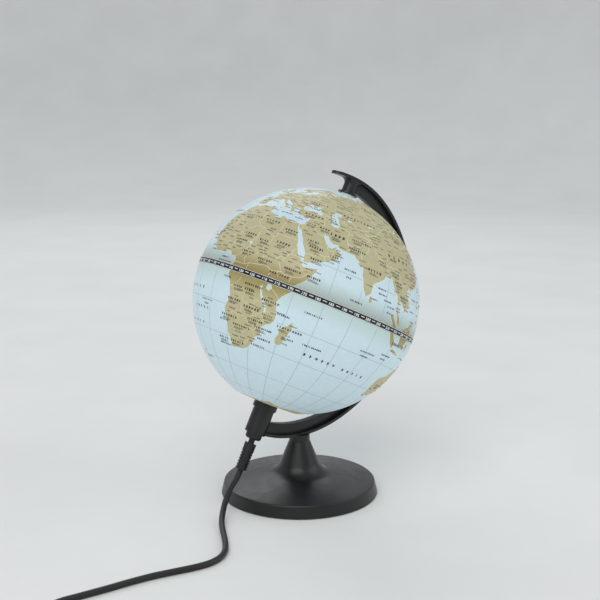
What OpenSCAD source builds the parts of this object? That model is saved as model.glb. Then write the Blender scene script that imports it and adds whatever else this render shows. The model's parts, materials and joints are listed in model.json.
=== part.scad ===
// Illuminated desktop globe on a one-armed stand, with its lamp, mains lead, in-line switch and plug.
// Millimetres, +Z up. The origin is the centre of the pad under the base, on the table.
// The globe's axis lies in the XZ plane and leans towards +X.

/* [Globe] */
// Outer radius of the globe
globe_r = 100; // [90:1:105]
// Wall of the two hemispheres
shell_t = 1.5; // [1:0.1:2.5]
// Lean of the globe's axis from the vertical, in degrees
axis_tilt = 25.3; // [20:0.1:27]
// Distance from the globe's centre to the flat cut at its south end
south_cut = 95.9; // [94:0.1:96.5]
// Half the width of the printed band that covers the equator joint
band_half = 2.35; // [1.5:0.05:4]

/* [Placement] */
// Globe centre, sideways from the base's axis
globe_x = 6.8; // [0:0.1:12]
// Globe centre, height above the table
globe_z = 175.5; // [172:0.5:185]

/* [Arm] */
// Width of the arm's outer flange
flange_w = 12; // [9:0.5:16]
// Thickness of the outer flange
flange_t = 2.6; // [2:0.1:4]
// Thickness of the arm's web
web_t = 3.4; // [2.5:0.1:5]

/* [Base] */
// Radius of the base where it meets the table
base_r = 70.8; // [66:0.1:80]
// Radius of the top edge of the rim
rim_r = 68.5; // [60:0.1:69]
// Height of the top edge of the rim
rim_h = 11.6; // [10:0.1:14]
// Height of the pedestal's neck
neck_h = 48.5; // [46:0.1:50]
// Radius of the pedestal's neck at its top
neck_r = 9.3; // [9:0.1:11]
// Wall of the base moulding
base_t = 2.4; // [2:0.1:3]

/* [Lead] */
// Diameter of the mains lead
cord_d = 5; // [4.5:0.1:5.2]
// Mean diameter of the wound coil of spare lead
coil_d = 55; // [50:1:60]

/* [Hidden] */
$fn = 96;
clear = 0.05;                 // running and assembly clearance, radial
gap = 0.2;                    // gap between faces that slide past each other
inner_r = globe_r - shell_t;

// Polar outline of the arm about the globe's centre, angle b from the north pole
tip_b = -11.2;                // end of the hook past the pole
end_b = 178;                  // where the outline runs into the lamp ring
arm_mid_r = 113.5;
function smooth(t) = let (u = min(max(t, 0), 1)) u * u * (3 - 2 * u);
function arm_out(b) = arm_mid_r + 4.5 * smooth((45 - b) / 42) + 11 * smooth((b - 115) / 62);
function arm_depth(b) = 9 + 3.6 * smooth((60 - b) / 50) + 3.5 * smooth((b - 110) / 50);
function arm_in(b) = arm_out(b) - arm_depth(b);
function polar(r, b) = [r * sin(b), r * cos(b)];
arm_step = 3;
rib_w = web_t + 2.6;          // bead along the web's inner edge
rib_t = 1.8;

// Stations along the globe's axis, measured from its centre
hub_r = 6.3;
hub_bottom = 101.9;
hub_foot_r = 8.8;             // collar at the hub's lower end
hub_foot_t = 1.3;
hub_flare = 4.5;              // radius of the flare between hub and hook
hub_flare_top = 115;
pin_r = 2;
bush_r = 4.2;
bush_flange_r = 6.5;
bush_top = 101.6;
pin_bottom = 93.5;
pin_top = 112;
thrust_top = -south_cut - gap;
flange_top = thrust_top - 1;
flange_bottom = -102.2;
ring_bottom = -125;
nut_bottom = -130.5;
relief_top = -134.5;
relief_bottom = -158.5;
journal_r = 8;
journal_top = -91.5;
cup_r = 13;
cup_bottom = journal_top;
cup_top = -64;
stem_r = 6;
stem_bore = 3.8;
nut_r = 7.2;
nipple_r = 5;                 // threaded ends of the stem
relief_neck_r = 2.7;
relief_r = 5.25;              // top of the strain relief's sleeve
relief_end_r = 4.9;
relief_groove_r = 4.3;        // bottom of the grooves round the sleeve
relief_groove_w = 0.9;
wire_r = 1.2;
wire_x = 1.7;
ring_r = 9.4;
socket_floor = -85;
shell_r = 7.4;                // outside of the brass screw shell
cap_r = 6.85;                 // outside of the bulb's screw cap
bulb_r = 22.5;
bulb_z = -31;

// Base
underside = 0.8;              // height of the rim's lower edge above the table
pad_t = 1;
plate_t = 1.6;
plate_top = pad_t + plate_t;
pad_r = 64;
plate_r = 66.6;
plate_hole_r = 7;
rim_round = 1.5;              // rounding of the rim's top edge
flare_r = 16;
cone_bottom_r = 17.5;
cone_bottom_z = 28;
cone_angle = atan((cone_bottom_r - neck_r) / (neck_h - cone_bottom_z));
foot_angle = 81;
flare_x = cone_bottom_r + flare_r * cos(cone_angle);
flare_z = cone_bottom_z + flare_r * sin(cone_angle);
tenon_r = 6.4;
tenon_bottom = 24;
shelf_z = 18;
column_r = 10;
weight_r = 50.6;
weight_top = 10.4;
weight_bore = 14;
boss_ring_r = 55;
boss_r = 4;
boss_top = 12.2;
boss_drill_top = 10;          // end of the screw hole in a boss
plate_screw_r = 1.4;
plate_screw_head_r = 2.8;
plate_recess = 0.85;          // depth of the recess for a plate screw's head
arm_screw_r = 2.1;
arm_screw_top = 40;
arm_screw_head_r = 4.4;
arm_screw_head_t = 3.2;
screw_slot = [6.8, 1.2, 2];   // length, width and depth of the head's crossed slots
washer_r = 6.3;
washer_bore = 2.3;
washer_t = 1.05;
washer_well_r = 6.6;          // well in the base column that takes the washer and the screw's head
screw_way_r = 3;

// Mains lead: centre line from the strain relief to the switch, then to the coil, then to the plug
lead_route = [
  [-61, 0, 32.2], [-63.4, 0, 27.4], [-67.4, -2, 23.8], [-72.4, -5, 20.8], [-77.4, -8.6, 17.8],
  [-82.4, -13, 14.2], [-87.8, -18.8, 10.4], [-93, -25.4, 7], [-98, -33, 4.4], [-102.4, -41.4, 2.9],
  [-107, -52, 2.5], [-112, -63.6, 2.5], [-117.6, -75.6, 2.5], [-124, -86.4, 2.5], [-132.4, -94.8, 2.5],
  [-143, -99.6, 2.5], [-155, -100.6, 2.5], [-170, -99.4, 2.5], [-190, -97.4, 2.5], [-210, -97.6, 2.5],
  [-230, -98.8, 2.5], [-250, -99.4, 2.5], [-263, -99.8, 2.5], [-272, -102.4, 2.5], [-280.6, -108.4, 2.7],
  [-286.6, -116.4, 3.4], [-289.6, -125.4, 4.4], [-290, -132, 4.9], [-290, -139, 5]
];
link_route = [
  [-290, -189, 5], [-290, -196, 4.9], [-290, -202, 4.4],
  [-290, -208, 3.6], [-290, -216, 3.2], [-290, -228, 3.2]
];
tail_route = [
  [-257.5, -260.5, 8.2], [-247, -260.5, 8], [-236, -260.5, 6.6], [-225, -260.5, 4.4], [-214, -260.5, 2.8],
  [-203, -260.5, 2.6], [-193, -260.5, 3.8], [-183, -260.5, 5.8], [-172, -260.5, 6.85]
];
coil_x = -257.5;
coil_y = -228;
coil_z = 0.7;
coil_w = 3 * cord_d;          // three turns side by side
coil_h = 2 * cord_d;          // in two layers
tie_t = 0.7;
tie_w = 7;
tie_angle = 35;

// Switch on the lead
switch_x = -290;
switch_y = -164;
switch_l = 62;
switch_w = 26;
switch_split = 5;
switch_h = 16.5;
switch_wall = 1.8;
rocker_l = 20.4;
rocker_w = 10.4;
rocker_z = 12.4;
rocker_lean = 8;              // slope of each half of the rocker's top, and its tilt at rest, in degrees
trunnion_r = 1.5;
switch_screw_x = 8.5;
switch_screw_y = 21;
contact_x = 4.6;
contact_y = 8;
contact_w = 1.8;
contact_l = 8;
contact_t = 1;
contact_h = 5;

// Plug, lying on the table with its pins towards +X
plug_y = -260.5;
plug_z = 6.85;
plug_h = 13.7;
plug_back = -150;
plug_front = -114.5;
pin_pitch = 18.6;
pin_len = 19;
plug_pin_r = 2;
pin_nose = 1.5;               // length of the taper at a pin's tip
tail_end = tail_route[len(tail_route) - 1];

// ---------- helpers ----------

// Places children drawn about the globe's axis, with z along the axis from the globe's centre
module on_axis() {
  translate([globe_x, 0, globe_z]) rotate([0, axis_tilt, 0]) children();
}

// Solid or hollow cylinder between two heights
module tube(r, z0, z1, bore = 0) {
  difference() {
    translate([0, 0, z0]) cylinder(r = r, h = z1 - z0);
    if (bore > 0) translate([0, 0, z0 - 1]) cylinder(r = bore, h = z1 - z0 + 2);
  }
}

// A flat outline in the plane of the arm, thickened to width w about y = 0
module in_arm_plane(w) {
  rotate([90, 0, 0]) linear_extrude(height = w, center = true) children();
}

// Strip of the arm between two polar outlines
module arm_strip(b0, b1, far, near) {
  n = ceil((b1 - b0) / arm_step);
  bs = [for (i = [0:n]) b0 + (b1 - b0) * i / n];
  polygon(concat([for (b = bs) polar(far(b), b)], [for (i = [n:-1:0]) polar(near(bs[i]), bs[i])]));
}

// Round tube swept along a route: one closed polyhedron
function unit(v) = v / norm(v);
function route_dir(p, i) = unit(p[min(i + 1, len(p) - 1)] - p[max(i - 1, 0)]);
function side_of(d) = abs(d.z) > 0.9 ? unit(cross(d, [0, 1, 0])) : unit(cross(d, [0, 0, 1]));
module swept(p, r, sides = 10) {
  n = len(p);
  pts = [for (i = [0:n - 1]) let (d = route_dir(p, i), s = side_of(d), u = cross(s, d))
    for (k = [0:sides - 1]) p[i] + r * (cos(360 * k / sides) * s + sin(360 * k / sides) * u)];
  walls = [for (i = [0:n - 2]) for (k = [0:sides - 1]) let (m = (k + 1) % sides)
    [i * sides + k, (i + 1) * sides + k, (i + 1) * sides + m, i * sides + m]];
  ends = [[for (k = [0:sides - 1]) k], [for (k = [sides - 1:-1:0]) (n - 1) * sides + k]];
  polyhedron(points = pts, faces = concat(walls, ends), convexity = 6);
}

// ---------- base ----------

module base_pad() {
  color("dimgray") tube(pad_r, 0, pad_t);
}

module base_plate() {
  color([0.12, 0.12, 0.12]) difference() {
    tube(plate_r, pad_t, plate_top, plate_hole_r);
    at_bosses() {
      tube(plate_screw_r + 0.2, pad_t - 1, plate_top + 1);
      tube(plate_screw_head_r + 0.2, pad_t - 1, pad_t + plate_recess);
    }
  }
}

module at_bosses() {
  for (k = [0:2]) rotate(60 + 120 * k) translate([boss_ring_r, 0, 0]) children();
}

module base_weight() {
  color([0.35, 0.35, 0.36]) tube(weight_r, plate_top, weight_top, weight_bore);
}

// Half profile of the base moulding, grown inwards by t
module cover_profile(t) {
  polygon(concat(
    [[0, underside], [base_r - t, underside], [rim_r - t, rim_h - rim_round - t]],
    [for (a = [15:15:90]) [rim_r - t - rim_round * (1 - cos(a)), rim_h - t - rim_round * (1 - sin(a))]],
    [for (a = [foot_angle:-4:cone_angle])
      [flare_x - (flare_r + t) * cos(a), flare_z - (flare_r + t) * sin(a)]],
    [[neck_r - t, neck_h - t], [0, neck_h - t]]
  ));
}

module base_cover() {
  color([0.05, 0.05, 0.05]) {
    difference() {
      rotate_extrude($fn = 128) cover_profile(0);
      rotate_extrude($fn = 128) difference() {
        cover_profile(base_t);
        square([column_r, neck_h + 1]);
      }
      tube(base_r - base_t, underside - 1, plate_top);
      tube(tenon_r + clear, shelf_z + 4, neck_h + 1);
      tube(screw_way_r, plate_top - 1, neck_h);
      tube(washer_well_r, plate_top - 1, shelf_z);
    }
    difference() {
      at_bosses() tube(boss_r, plate_top, boss_top);
      at_bosses() tube(plate_screw_r + clear, plate_top - 1, boss_drill_top);
    }
  }
}

module plate_screws() {
  color("silver") at_bosses() {
    tube(plate_screw_r, pad_t + 0.1, boss_drill_top - 0.4);
    tube(plate_screw_head_r, pad_t + 0.1, pad_t + plate_recess - clear);
  }
}

module arm_screw() {
  head_top = shelf_z - washer_t - clear - 0.1;
  color("silver") {
    tube(arm_screw_r, head_top, arm_screw_top);
    difference() {
      tube(arm_screw_head_r, head_top - arm_screw_head_t, head_top);
      for (turn = [0, 90])
        rotate(turn) translate([0, 0, head_top - arm_screw_head_t]) cube(screw_slot, center = true);
    }
  }
}

module arm_screw_washer() {
  color("gainsboro") tube(washer_r, shelf_z - washer_t - clear, shelf_z - clear, washer_bore);
}

// ---------- arm ----------

module arm_body() {
  in_arm_plane(flange_w)
    arm_strip(tip_b, end_b, function (b) arm_out(b), function (b) arm_out(b) - flange_t);
  in_arm_plane(web_t)
    arm_strip(0, end_b, function (b) arm_out(b) - 1, function (b) arm_in(b));
  in_arm_plane(rib_w)
    arm_strip(3, end_b, function (b) arm_in(b) + rib_t, function (b) arm_in(b));
}

// Plan of the arm along the globe's axis: as wide as the flange, with a round end on the hook
module arm_plan() {
  tip_x = arm_out(tip_b) * sin(tip_b);
  translate([tip_x + flange_w / 2, 0]) circle(r = flange_w / 2);
  translate([tip_x + flange_w / 2, -flange_w / 2]) square([2 * globe_r, flange_w]);
}

// Hub at the north pole: a collar, a round boss, and a flare into the hook that is as wide as the flange
module pole_hub() {
  tube(hub_r, hub_bottom, arm_out(0) - 1);
  tube(hub_foot_r, hub_bottom, hub_bottom + hub_foot_t);
  intersection() {
    rotate_extrude() polygon(concat(
      [[0, hub_bottom + 2], [hub_r - 0.5, hub_bottom + 2]],
      [for (a = [0:15:90]) [hub_r + hub_flare * (1 - cos(a)), hub_flare_top - hub_flare * (1 - sin(a))]],
      [[0, hub_flare_top]]
    ));
    translate([-globe_r, -flange_w / 2, 0]) cube([2 * globe_r, flange_w, 2 * globe_r]);
  }
}

module meridian_arm() {
  color([0.04, 0.04, 0.045]) {
    difference() {
      union() {
        on_axis() {
          intersection() {
            arm_body();
            linear_extrude(height = 4 * globe_r, center = true) arm_plan();
          }
          pole_hub();
          tube(ring_r, ring_bottom, flange_bottom);
        }
        tube(neck_r, neck_h, neck_h + 6);
        tube(tenon_r, tenon_bottom, neck_h + 4);
      }
      on_axis() {
        tube(pin_r, 90, pin_top);
        tube(stem_r + clear, ring_bottom - 20, flange_bottom + 20);
        tube(ring_r + 1.6, flange_bottom, -90);
      }
      tube(arm_screw_r + clear, tenon_bottom - 1, 41);
    }
  }
}

module pole_pin() {
  color("silver") on_axis() tube(pin_r, pin_bottom, pin_top);
}

// ---------- lamp ----------

module lamp_holder_stem() {
  color([0.06, 0.06, 0.06]) on_axis() difference() {
    union() {
      tube(10.8, flange_bottom, flange_top);
      tube(journal_r, flange_bottom, journal_top);
      tube(nipple_r, flange_bottom, cup_bottom + 3);
      tube(stem_r, ring_bottom + 3, flange_bottom);
      tube(nipple_r, ring_bottom - 4, flange_bottom);
    }
    tube(stem_bore, ring_bottom - 5, cup_bottom + 4);
  }
}

module thrust_washer() {
  color([0.2, 0.2, 0.2]) on_axis() tube(10.4, flange_top, thrust_top, journal_r + clear);
}

module holder_nut() {
  color([0.07, 0.07, 0.07]) on_axis() difference() {
    rotate_extrude() {
      difference() {
        union() {
          translate([0, nut_bottom + 2.2]) square([nut_r, ring_bottom - nut_bottom - 2.2]);
          translate([0, nut_bottom]) square([nut_r - 2.2, 3]);
          translate([nut_r - 2.2, nut_bottom + 2.2]) circle(r = 2.2);
        }
        translate([-10, nut_bottom - 2]) square([10, 12]);
      }
    }
    tube(nipple_r + clear, ring_bottom - 4, ring_bottom + 1);
    tube(relief_neck_r + 0.1, nut_bottom - 1, ring_bottom);
  }
}

module lamp_cup() {
  color([0.08, 0.08, 0.08]) on_axis() difference() {
    union() {
      tube(cup_r, cup_bottom, cup_top);
      for (k = [0:11])
        rotate(30 * k) translate([cup_r, 0, cup_bottom + 2]) cylinder(r = 0.7, h = 14, $fn = 16);
    }
    tube(nipple_r + clear, cup_bottom - 1, cup_bottom + 4);
    tube(cup_r - 1.8, cup_bottom + 3, cup_top + 1);
  }
}

module socket_insulator() {
  color("white") on_axis() difference() {
    tube(cup_r - 1.9, cup_bottom + 3, cup_top - 1.5);
    tube(shell_r + clear, socket_floor, cup_top);
    for (s = [-1, 1]) translate([wire_x * s, 0, 0]) tube(wire_r + 0.1, cup_bottom, socket_floor + 1);
  }
}

module screw_shell() {
  color("gold") on_axis() tube(shell_r, socket_floor, cup_top - 2.5, shell_r - 0.4);
}

module centre_contact() {
  color("gold") on_axis() {
    tube(2, socket_floor, socket_floor + 0.4);
    translate([-1, -1, socket_floor]) cube([2, 2, 2]);
  }
}

module lamp_wires() {
  color("saddlebrown") on_axis()
    for (s = [-1, 1]) translate([wire_x * s, 0, 0]) tube(wire_r, ring_bottom - 4, socket_floor - 0.1);
}

module bulb_cap() {
  color("silver") on_axis() {
    tube(cap_r, socket_floor + 4, -62);
    tube(3, socket_floor + 2, socket_floor + 4);
  }
}

module bulb_collar() {
  color("white") on_axis() rotate_extrude()
    polygon([[0, -62], [9, -62], [10.5, -60], [17, -47.5], [17.6, -45], [0, -45]]);
}

module bulb_envelope() {
  color("white") on_axis() difference() {
    translate([0, 0, bulb_z]) sphere(r = bulb_r);
    translate([0, 0, bulb_z]) sphere(r = bulb_r - 1);
    translate([-30, -30, -75]) cube([60, 60, 30]);
  }
}

module strain_relief() {
  color([0.05, 0.05, 0.05]) on_axis() difference() {
    union() {
      tube(relief_neck_r, relief_top - 1, ring_bottom - 4.2);
      translate([0, 0, relief_bottom])
        cylinder(r1 = relief_end_r, r2 = relief_r, h = relief_top - relief_bottom);
    }
    for (k = [0:5])
      translate([0, 0, relief_bottom + 2 + 2.6 * k])
        tube(relief_r + 1, 0, relief_groove_w, relief_groove_r);
  }
}

// ---------- globe ----------

module hemisphere(z0, z1) {
  intersection() {
    difference() {
      sphere(r = globe_r, $fn = 180);
      sphere(r = inner_r, $fn = 180);
    }
    tube(globe_r + 5, z0, z1);
  }
}

module north_hemisphere() {
  color("wheat") on_axis() difference() {
    hemisphere(0, globe_r + 5);
    tube(bush_r + 2 * clear, 90, globe_r + 5);
  }
}

module south_hemisphere() {
  color("lightcyan") on_axis() hemisphere(-south_cut, 0);
}

module joint_ring() {
  color("white") on_axis() intersection() {
    difference() {
      sphere(r = inner_r - clear, $fn = 180);
      sphere(r = inner_r - 2, $fn = 180);
    }
    tube(globe_r, -5, 12);
  }
}

module equator_band() {
  color([0.1, 0.1, 0.1]) on_axis() tube(globe_r + 0.42, -band_half, band_half, globe_r + 0.02);
}

module north_bush() {
  color("white") on_axis() difference() {
    union() {
      tube(9, 92.5, inner_r - 0.6);
      tube(bush_r, 92.5, bush_top);
      tube(bush_flange_r, globe_r + clear, bush_top);
    }
    tube(pin_r + clear, pin_bottom - 0.4, globe_r + 5);
  }
}

module south_collar() {
  color([0.9, 0.9, 0.86]) on_axis() difference() {
    intersection() {
      sphere(r = inner_r - clear, $fn = 180);
      union() {
        tube(30, -south_cut, -93.2);
        tube(11.5, -south_cut, -92);
      }
    }
    tube(journal_r + clear, -south_cut - 1, -90);
  }
}

// ---------- mains lead ----------

module mains_lead() {
  color([0.05, 0.05, 0.05]) swept(lead_route, cord_d / 2);
}

module lead_link() {
  color([0.05, 0.05, 0.05]) swept(link_route, cord_d / 2);
}

module lead_tail() {
  color([0.05, 0.05, 0.05]) swept(tail_route, cord_d / 2);
}

module lead_coil() {
  color([0.05, 0.05, 0.05]) translate([coil_x, coil_y, coil_z]) rotate_extrude()
    translate([coil_d / 2 - coil_w / 2, 0]) square([coil_w, coil_h]);
}

module coil_tie() {
  color([0.15, 0.15, 0.15]) translate([coil_x, coil_y, 0]) rotate(tie_angle)
    translate([coil_d / 2, 0, coil_z + coil_h / 2]) rotate([90, 0, 0])
      linear_extrude(height = tie_w, center = true) difference() {
        square([coil_w + 2.6, coil_h + 2 * tie_t], center = true);
        square([coil_w + 1.2, coil_h + 0.02], center = true);
      }
}

module in_switch() {
  translate([switch_x, switch_y, 0]) children();
}

// Outline of the switch: a rectangle with round ends
module switch_outline(inset) {
  r = 9 - inset;
  for (s = [-1, 1]) {
    translate([-(switch_w / 2 - 9), s * (switch_l / 2 - 9)]) circle(r = r);
    translate([switch_w / 2 - 9, s * (switch_l / 2 - 9)]) circle(r = r);
  }
  square([switch_w - 2 * inset, switch_l - 18], center = true);
  square([switch_w - 18, switch_l - 2 * inset], center = true);
}

module cord_way() {
  translate([0, 0, switch_split]) rotate([90, 0, 0])
    cylinder(r = cord_d / 2 + clear, h = switch_l + 10, center = true);
}

module switch_lower_case() {
  color([0.07, 0.07, 0.07]) in_switch() difference() {
    union() {
      difference() {
        linear_extrude(height = switch_split) switch_outline(0);
        translate([0, 0, switch_wall]) linear_extrude(height = switch_h) switch_outline(switch_wall);
      }
      for (s = [-1, 1]) translate([s * switch_screw_x, s * switch_screw_y, 0]) tube(2.9, 0, switch_split);
    }
    cord_way();
    for (s = [-1, 1]) translate([s * switch_screw_x, s * switch_screw_y, 0]) {
      tube(1.4, -1, switch_split + 1);
      tube(2.4, -1, 1.9);
    }
  }
}

module switch_upper_case() {
  color([0.08, 0.08, 0.08]) in_switch() difference() {
    union() {
      difference() {
        translate([0, 0, switch_split]) linear_extrude(height = switch_h - switch_split) switch_outline(0);
        translate([0, 0, switch_split - 1]) linear_extrude(height = switch_h - switch_split + 1 - switch_wall)
          switch_outline(switch_wall);
      }
      for (s = [-1, 1]) {
        translate([s * switch_screw_x, s * switch_screw_y, 0]) tube(2.6, switch_split, switch_h - 1);
        translate([s * (rocker_w / 2 + 1.7) - 1, -4, rocker_z - 3]) cube([2, 8, switch_h - rocker_z + 2]);
      }
    }
    cord_way();
    translate([-(rocker_w / 2 + 0.4), -12, rocker_z - 6]) cube([rocker_w + 0.8, 24, 20]);
    translate([0, 0, rocker_z]) rotate([0, 90, 0])
      cylinder(r = trunnion_r + clear, h = rocker_w + 8, center = true);
    for (s = [-1, 1]) translate([s * switch_screw_x, s * switch_screw_y, 0]) tube(1.2, switch_split - 1, 12);
  }
}

module switch_rocker() {
  color([0.1, 0.1, 0.1]) in_switch() translate([0, 0, rocker_z]) {
    rotate([-rocker_lean, 0, 0]) rotate([90, 0, 90]) linear_extrude(height = rocker_w, center = true)
      polygon([[-rocker_l / 2, -0.6], [-4, -3.2], [4, -3.2], [rocker_l / 2, -0.6],
               [rocker_l / 2, 5.9], [0, 5.9 - rocker_l / 2 * tan(rocker_lean)], [-rocker_l / 2, 5.9]]);
    rotate([0, 90, 0]) cylinder(r = trunnion_r, h = rocker_w + 5, center = true);
  }
}

module switch_screws() {
  color("silver") in_switch() for (s = [-1, 1]) translate([s * switch_screw_x, s * switch_screw_y, 0]) {
    tube(2.3, 0.3, 1.85);
    tube(1.15, 1.5, 11);
  }
}

module switch_contacts() {
  color("gold") in_switch() for (s = [-1, 1]) {
    translate([s * contact_x, s * contact_y, switch_wall + 0.1]) {
      translate([-contact_w / 2, -contact_l / 2, 0]) cube([contact_w, contact_l, contact_t]);
      translate([-contact_w / 2, s * 3 - contact_t / 2, 0]) cube([contact_w, contact_t, contact_h]);
    }
  }
}

module plug_relief() {
  color([0.05, 0.05, 0.05]) translate(tail_end) rotate([0, 90, 0]) difference() {
    cylinder(r1 = 3.4, r2 = 5, h = plug_back - tail_end.x);
    for (k = [0:3]) translate([0, 0, 3.5 + 4.4 * k]) tube(6.5, 0, 1.5, 3);
  }
}

module plug_body() {
  color([0.06, 0.06, 0.06]) translate([0, plug_y, plug_z]) intersection() {
    linear_extrude(height = plug_h, center = true)
      polygon([[plug_back, -7], [plug_back, 7], [plug_back + 8, 9.5],
               [plug_front - 9, 17.6], [plug_front, 17.6],
               [plug_front, -17.6], [plug_front - 9, -17.6], [plug_back + 8, -9.5]]);
    rotate([90, 0, 0]) linear_extrude(height = 40, center = true)
      polygon([[plug_back, -5.2], [plug_back, 5.2], [plug_back + 6, plug_h / 2], [plug_front, plug_h / 2],
               [plug_front, -plug_h / 2], [plug_back + 6, -plug_h / 2]]);
  }
}

module plug_pins() {
  color("silver") for (s = [-1, 1]) translate([plug_front, plug_y + s * pin_pitch / 2, plug_z])
    rotate([0, 90, 0]) {
      cylinder(r = plug_pin_r, h = pin_len - pin_nose);
      translate([0, 0, pin_len - pin_nose]) cylinder(r1 = plug_pin_r, r2 = 1.2, h = pin_nose);
    }
}

base_pad();
base_plate();
base_weight();
base_cover();
plate_screws();
arm_screw();
arm_screw_washer();
meridian_arm();
pole_pin();
lamp_holder_stem();
thrust_washer();
holder_nut();
lamp_cup();
socket_insulator();
screw_shell();
centre_contact();
lamp_wires();
bulb_cap();
bulb_collar();
bulb_envelope();
strain_relief();
north_hemisphere();
south_hemisphere();
joint_ring();
equator_band();
north_bush();
south_collar();
mains_lead();
lead_link();
lead_coil();
lead_tail();
coil_tie();
switch_lower_case();
switch_upper_case();
switch_rocker();
switch_screws();
switch_contacts();
plug_relief();
plug_body();
plug_pins();
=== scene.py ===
import json
import math
import random

import bpy
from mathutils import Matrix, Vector
from mathutils.geometry import delaunay_2d_cdt


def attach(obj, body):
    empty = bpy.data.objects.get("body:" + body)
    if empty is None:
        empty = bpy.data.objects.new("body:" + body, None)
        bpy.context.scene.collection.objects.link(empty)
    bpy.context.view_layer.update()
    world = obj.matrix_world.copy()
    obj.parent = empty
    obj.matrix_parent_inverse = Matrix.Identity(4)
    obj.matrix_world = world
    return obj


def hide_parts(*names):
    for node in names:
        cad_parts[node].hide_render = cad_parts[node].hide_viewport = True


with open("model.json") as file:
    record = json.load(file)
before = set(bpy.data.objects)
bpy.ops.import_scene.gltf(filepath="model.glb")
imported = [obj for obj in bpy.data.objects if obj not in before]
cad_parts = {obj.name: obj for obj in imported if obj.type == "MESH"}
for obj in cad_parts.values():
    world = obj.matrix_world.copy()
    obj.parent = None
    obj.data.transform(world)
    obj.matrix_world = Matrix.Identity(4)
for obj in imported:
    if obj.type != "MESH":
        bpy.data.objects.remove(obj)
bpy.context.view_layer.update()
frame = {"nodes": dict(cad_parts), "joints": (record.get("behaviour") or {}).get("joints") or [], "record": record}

MM = 0.001

# --- driving places and sizes, in metres unless named otherwise ---

SPIN = next(j for j in frame["joints"] if j["name"] == "globe_spin")
GLOBE = Vector(SPIN["pos_m"])
AXIS = Vector(SPIN["axis"]).normalized()
EAST = Vector((AXIS.z, 0, -AXIS.x))  # across the axis, in the arm's plane
NORTH_Y = Vector((0, 1, 0))
GLOBE_R = 100 * MM
SHELL_T = 1.5 * MM
SOUTH_CUT = 95.9 * MM  # flat cut at the south end, from the globe's centre
MAP_TURN = 175.5  # longitude that faces EAST at rest, in degrees
NORTH_SHIFT, NORTH_SCALE = 1.15, 0.987  # printed latitude on the north shell, from the true one
SOUTH_SHIFT = 2.14  # and on the south shell, in degrees

CORD_D = 5 * MM

# --- camera ---

CAMERA_AT = Vector((-0.5078, -0.8064, 0.3641))
CAMERA_AIM = Vector((0.0155, 0.0237, 0.1715))


def point_at(obj, place, target):
    """Puts a camera or a lamp in the scene, turned towards a target."""
    bpy.context.scene.collection.objects.link(obj)
    obj.location = place
    obj.rotation_mode = "QUATERNION"
    obj.rotation_quaternion = (Vector(target) - Vector(place)).to_track_quat("-Z", "Y")


def make_camera():
    data = bpy.data.cameras.new("camera")
    data.lens = 66.0
    data.sensor_width = 36.0
    data.clip_start = 0.01
    camera = bpy.data.objects.new("camera", data)
    point_at(camera, CAMERA_AT, CAMERA_AIM)
    bpy.context.scene.camera = camera


make_camera()

# --- small helpers ---


def srgb(*rgb):
    """A colour given as it looks on screen, as linear RGBA."""
    def linear(c):
        return c / 12.92 if c <= 0.04045 else ((c + 0.055) / 1.055) ** 2.4
    return (*[linear(c) for c in rgb], 1.0)


def new_mesh(name, verts, faces, materials, indices=None, smooth=True):
    mesh = bpy.data.meshes.new(name)
    mesh.from_pydata([tuple(v) for v in verts], [], faces)
    for m in materials:
        mesh.materials.append(m)
    if indices is not None:
        mesh.polygons.foreach_set("material_index", indices)
    mesh.polygons.foreach_set("use_smooth", [smooth] * len(mesh.polygons))
    mesh.update()
    obj = bpy.data.objects.new(name, mesh)
    bpy.context.scene.collection.objects.link(obj)
    return obj


# --- materials ---


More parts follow.
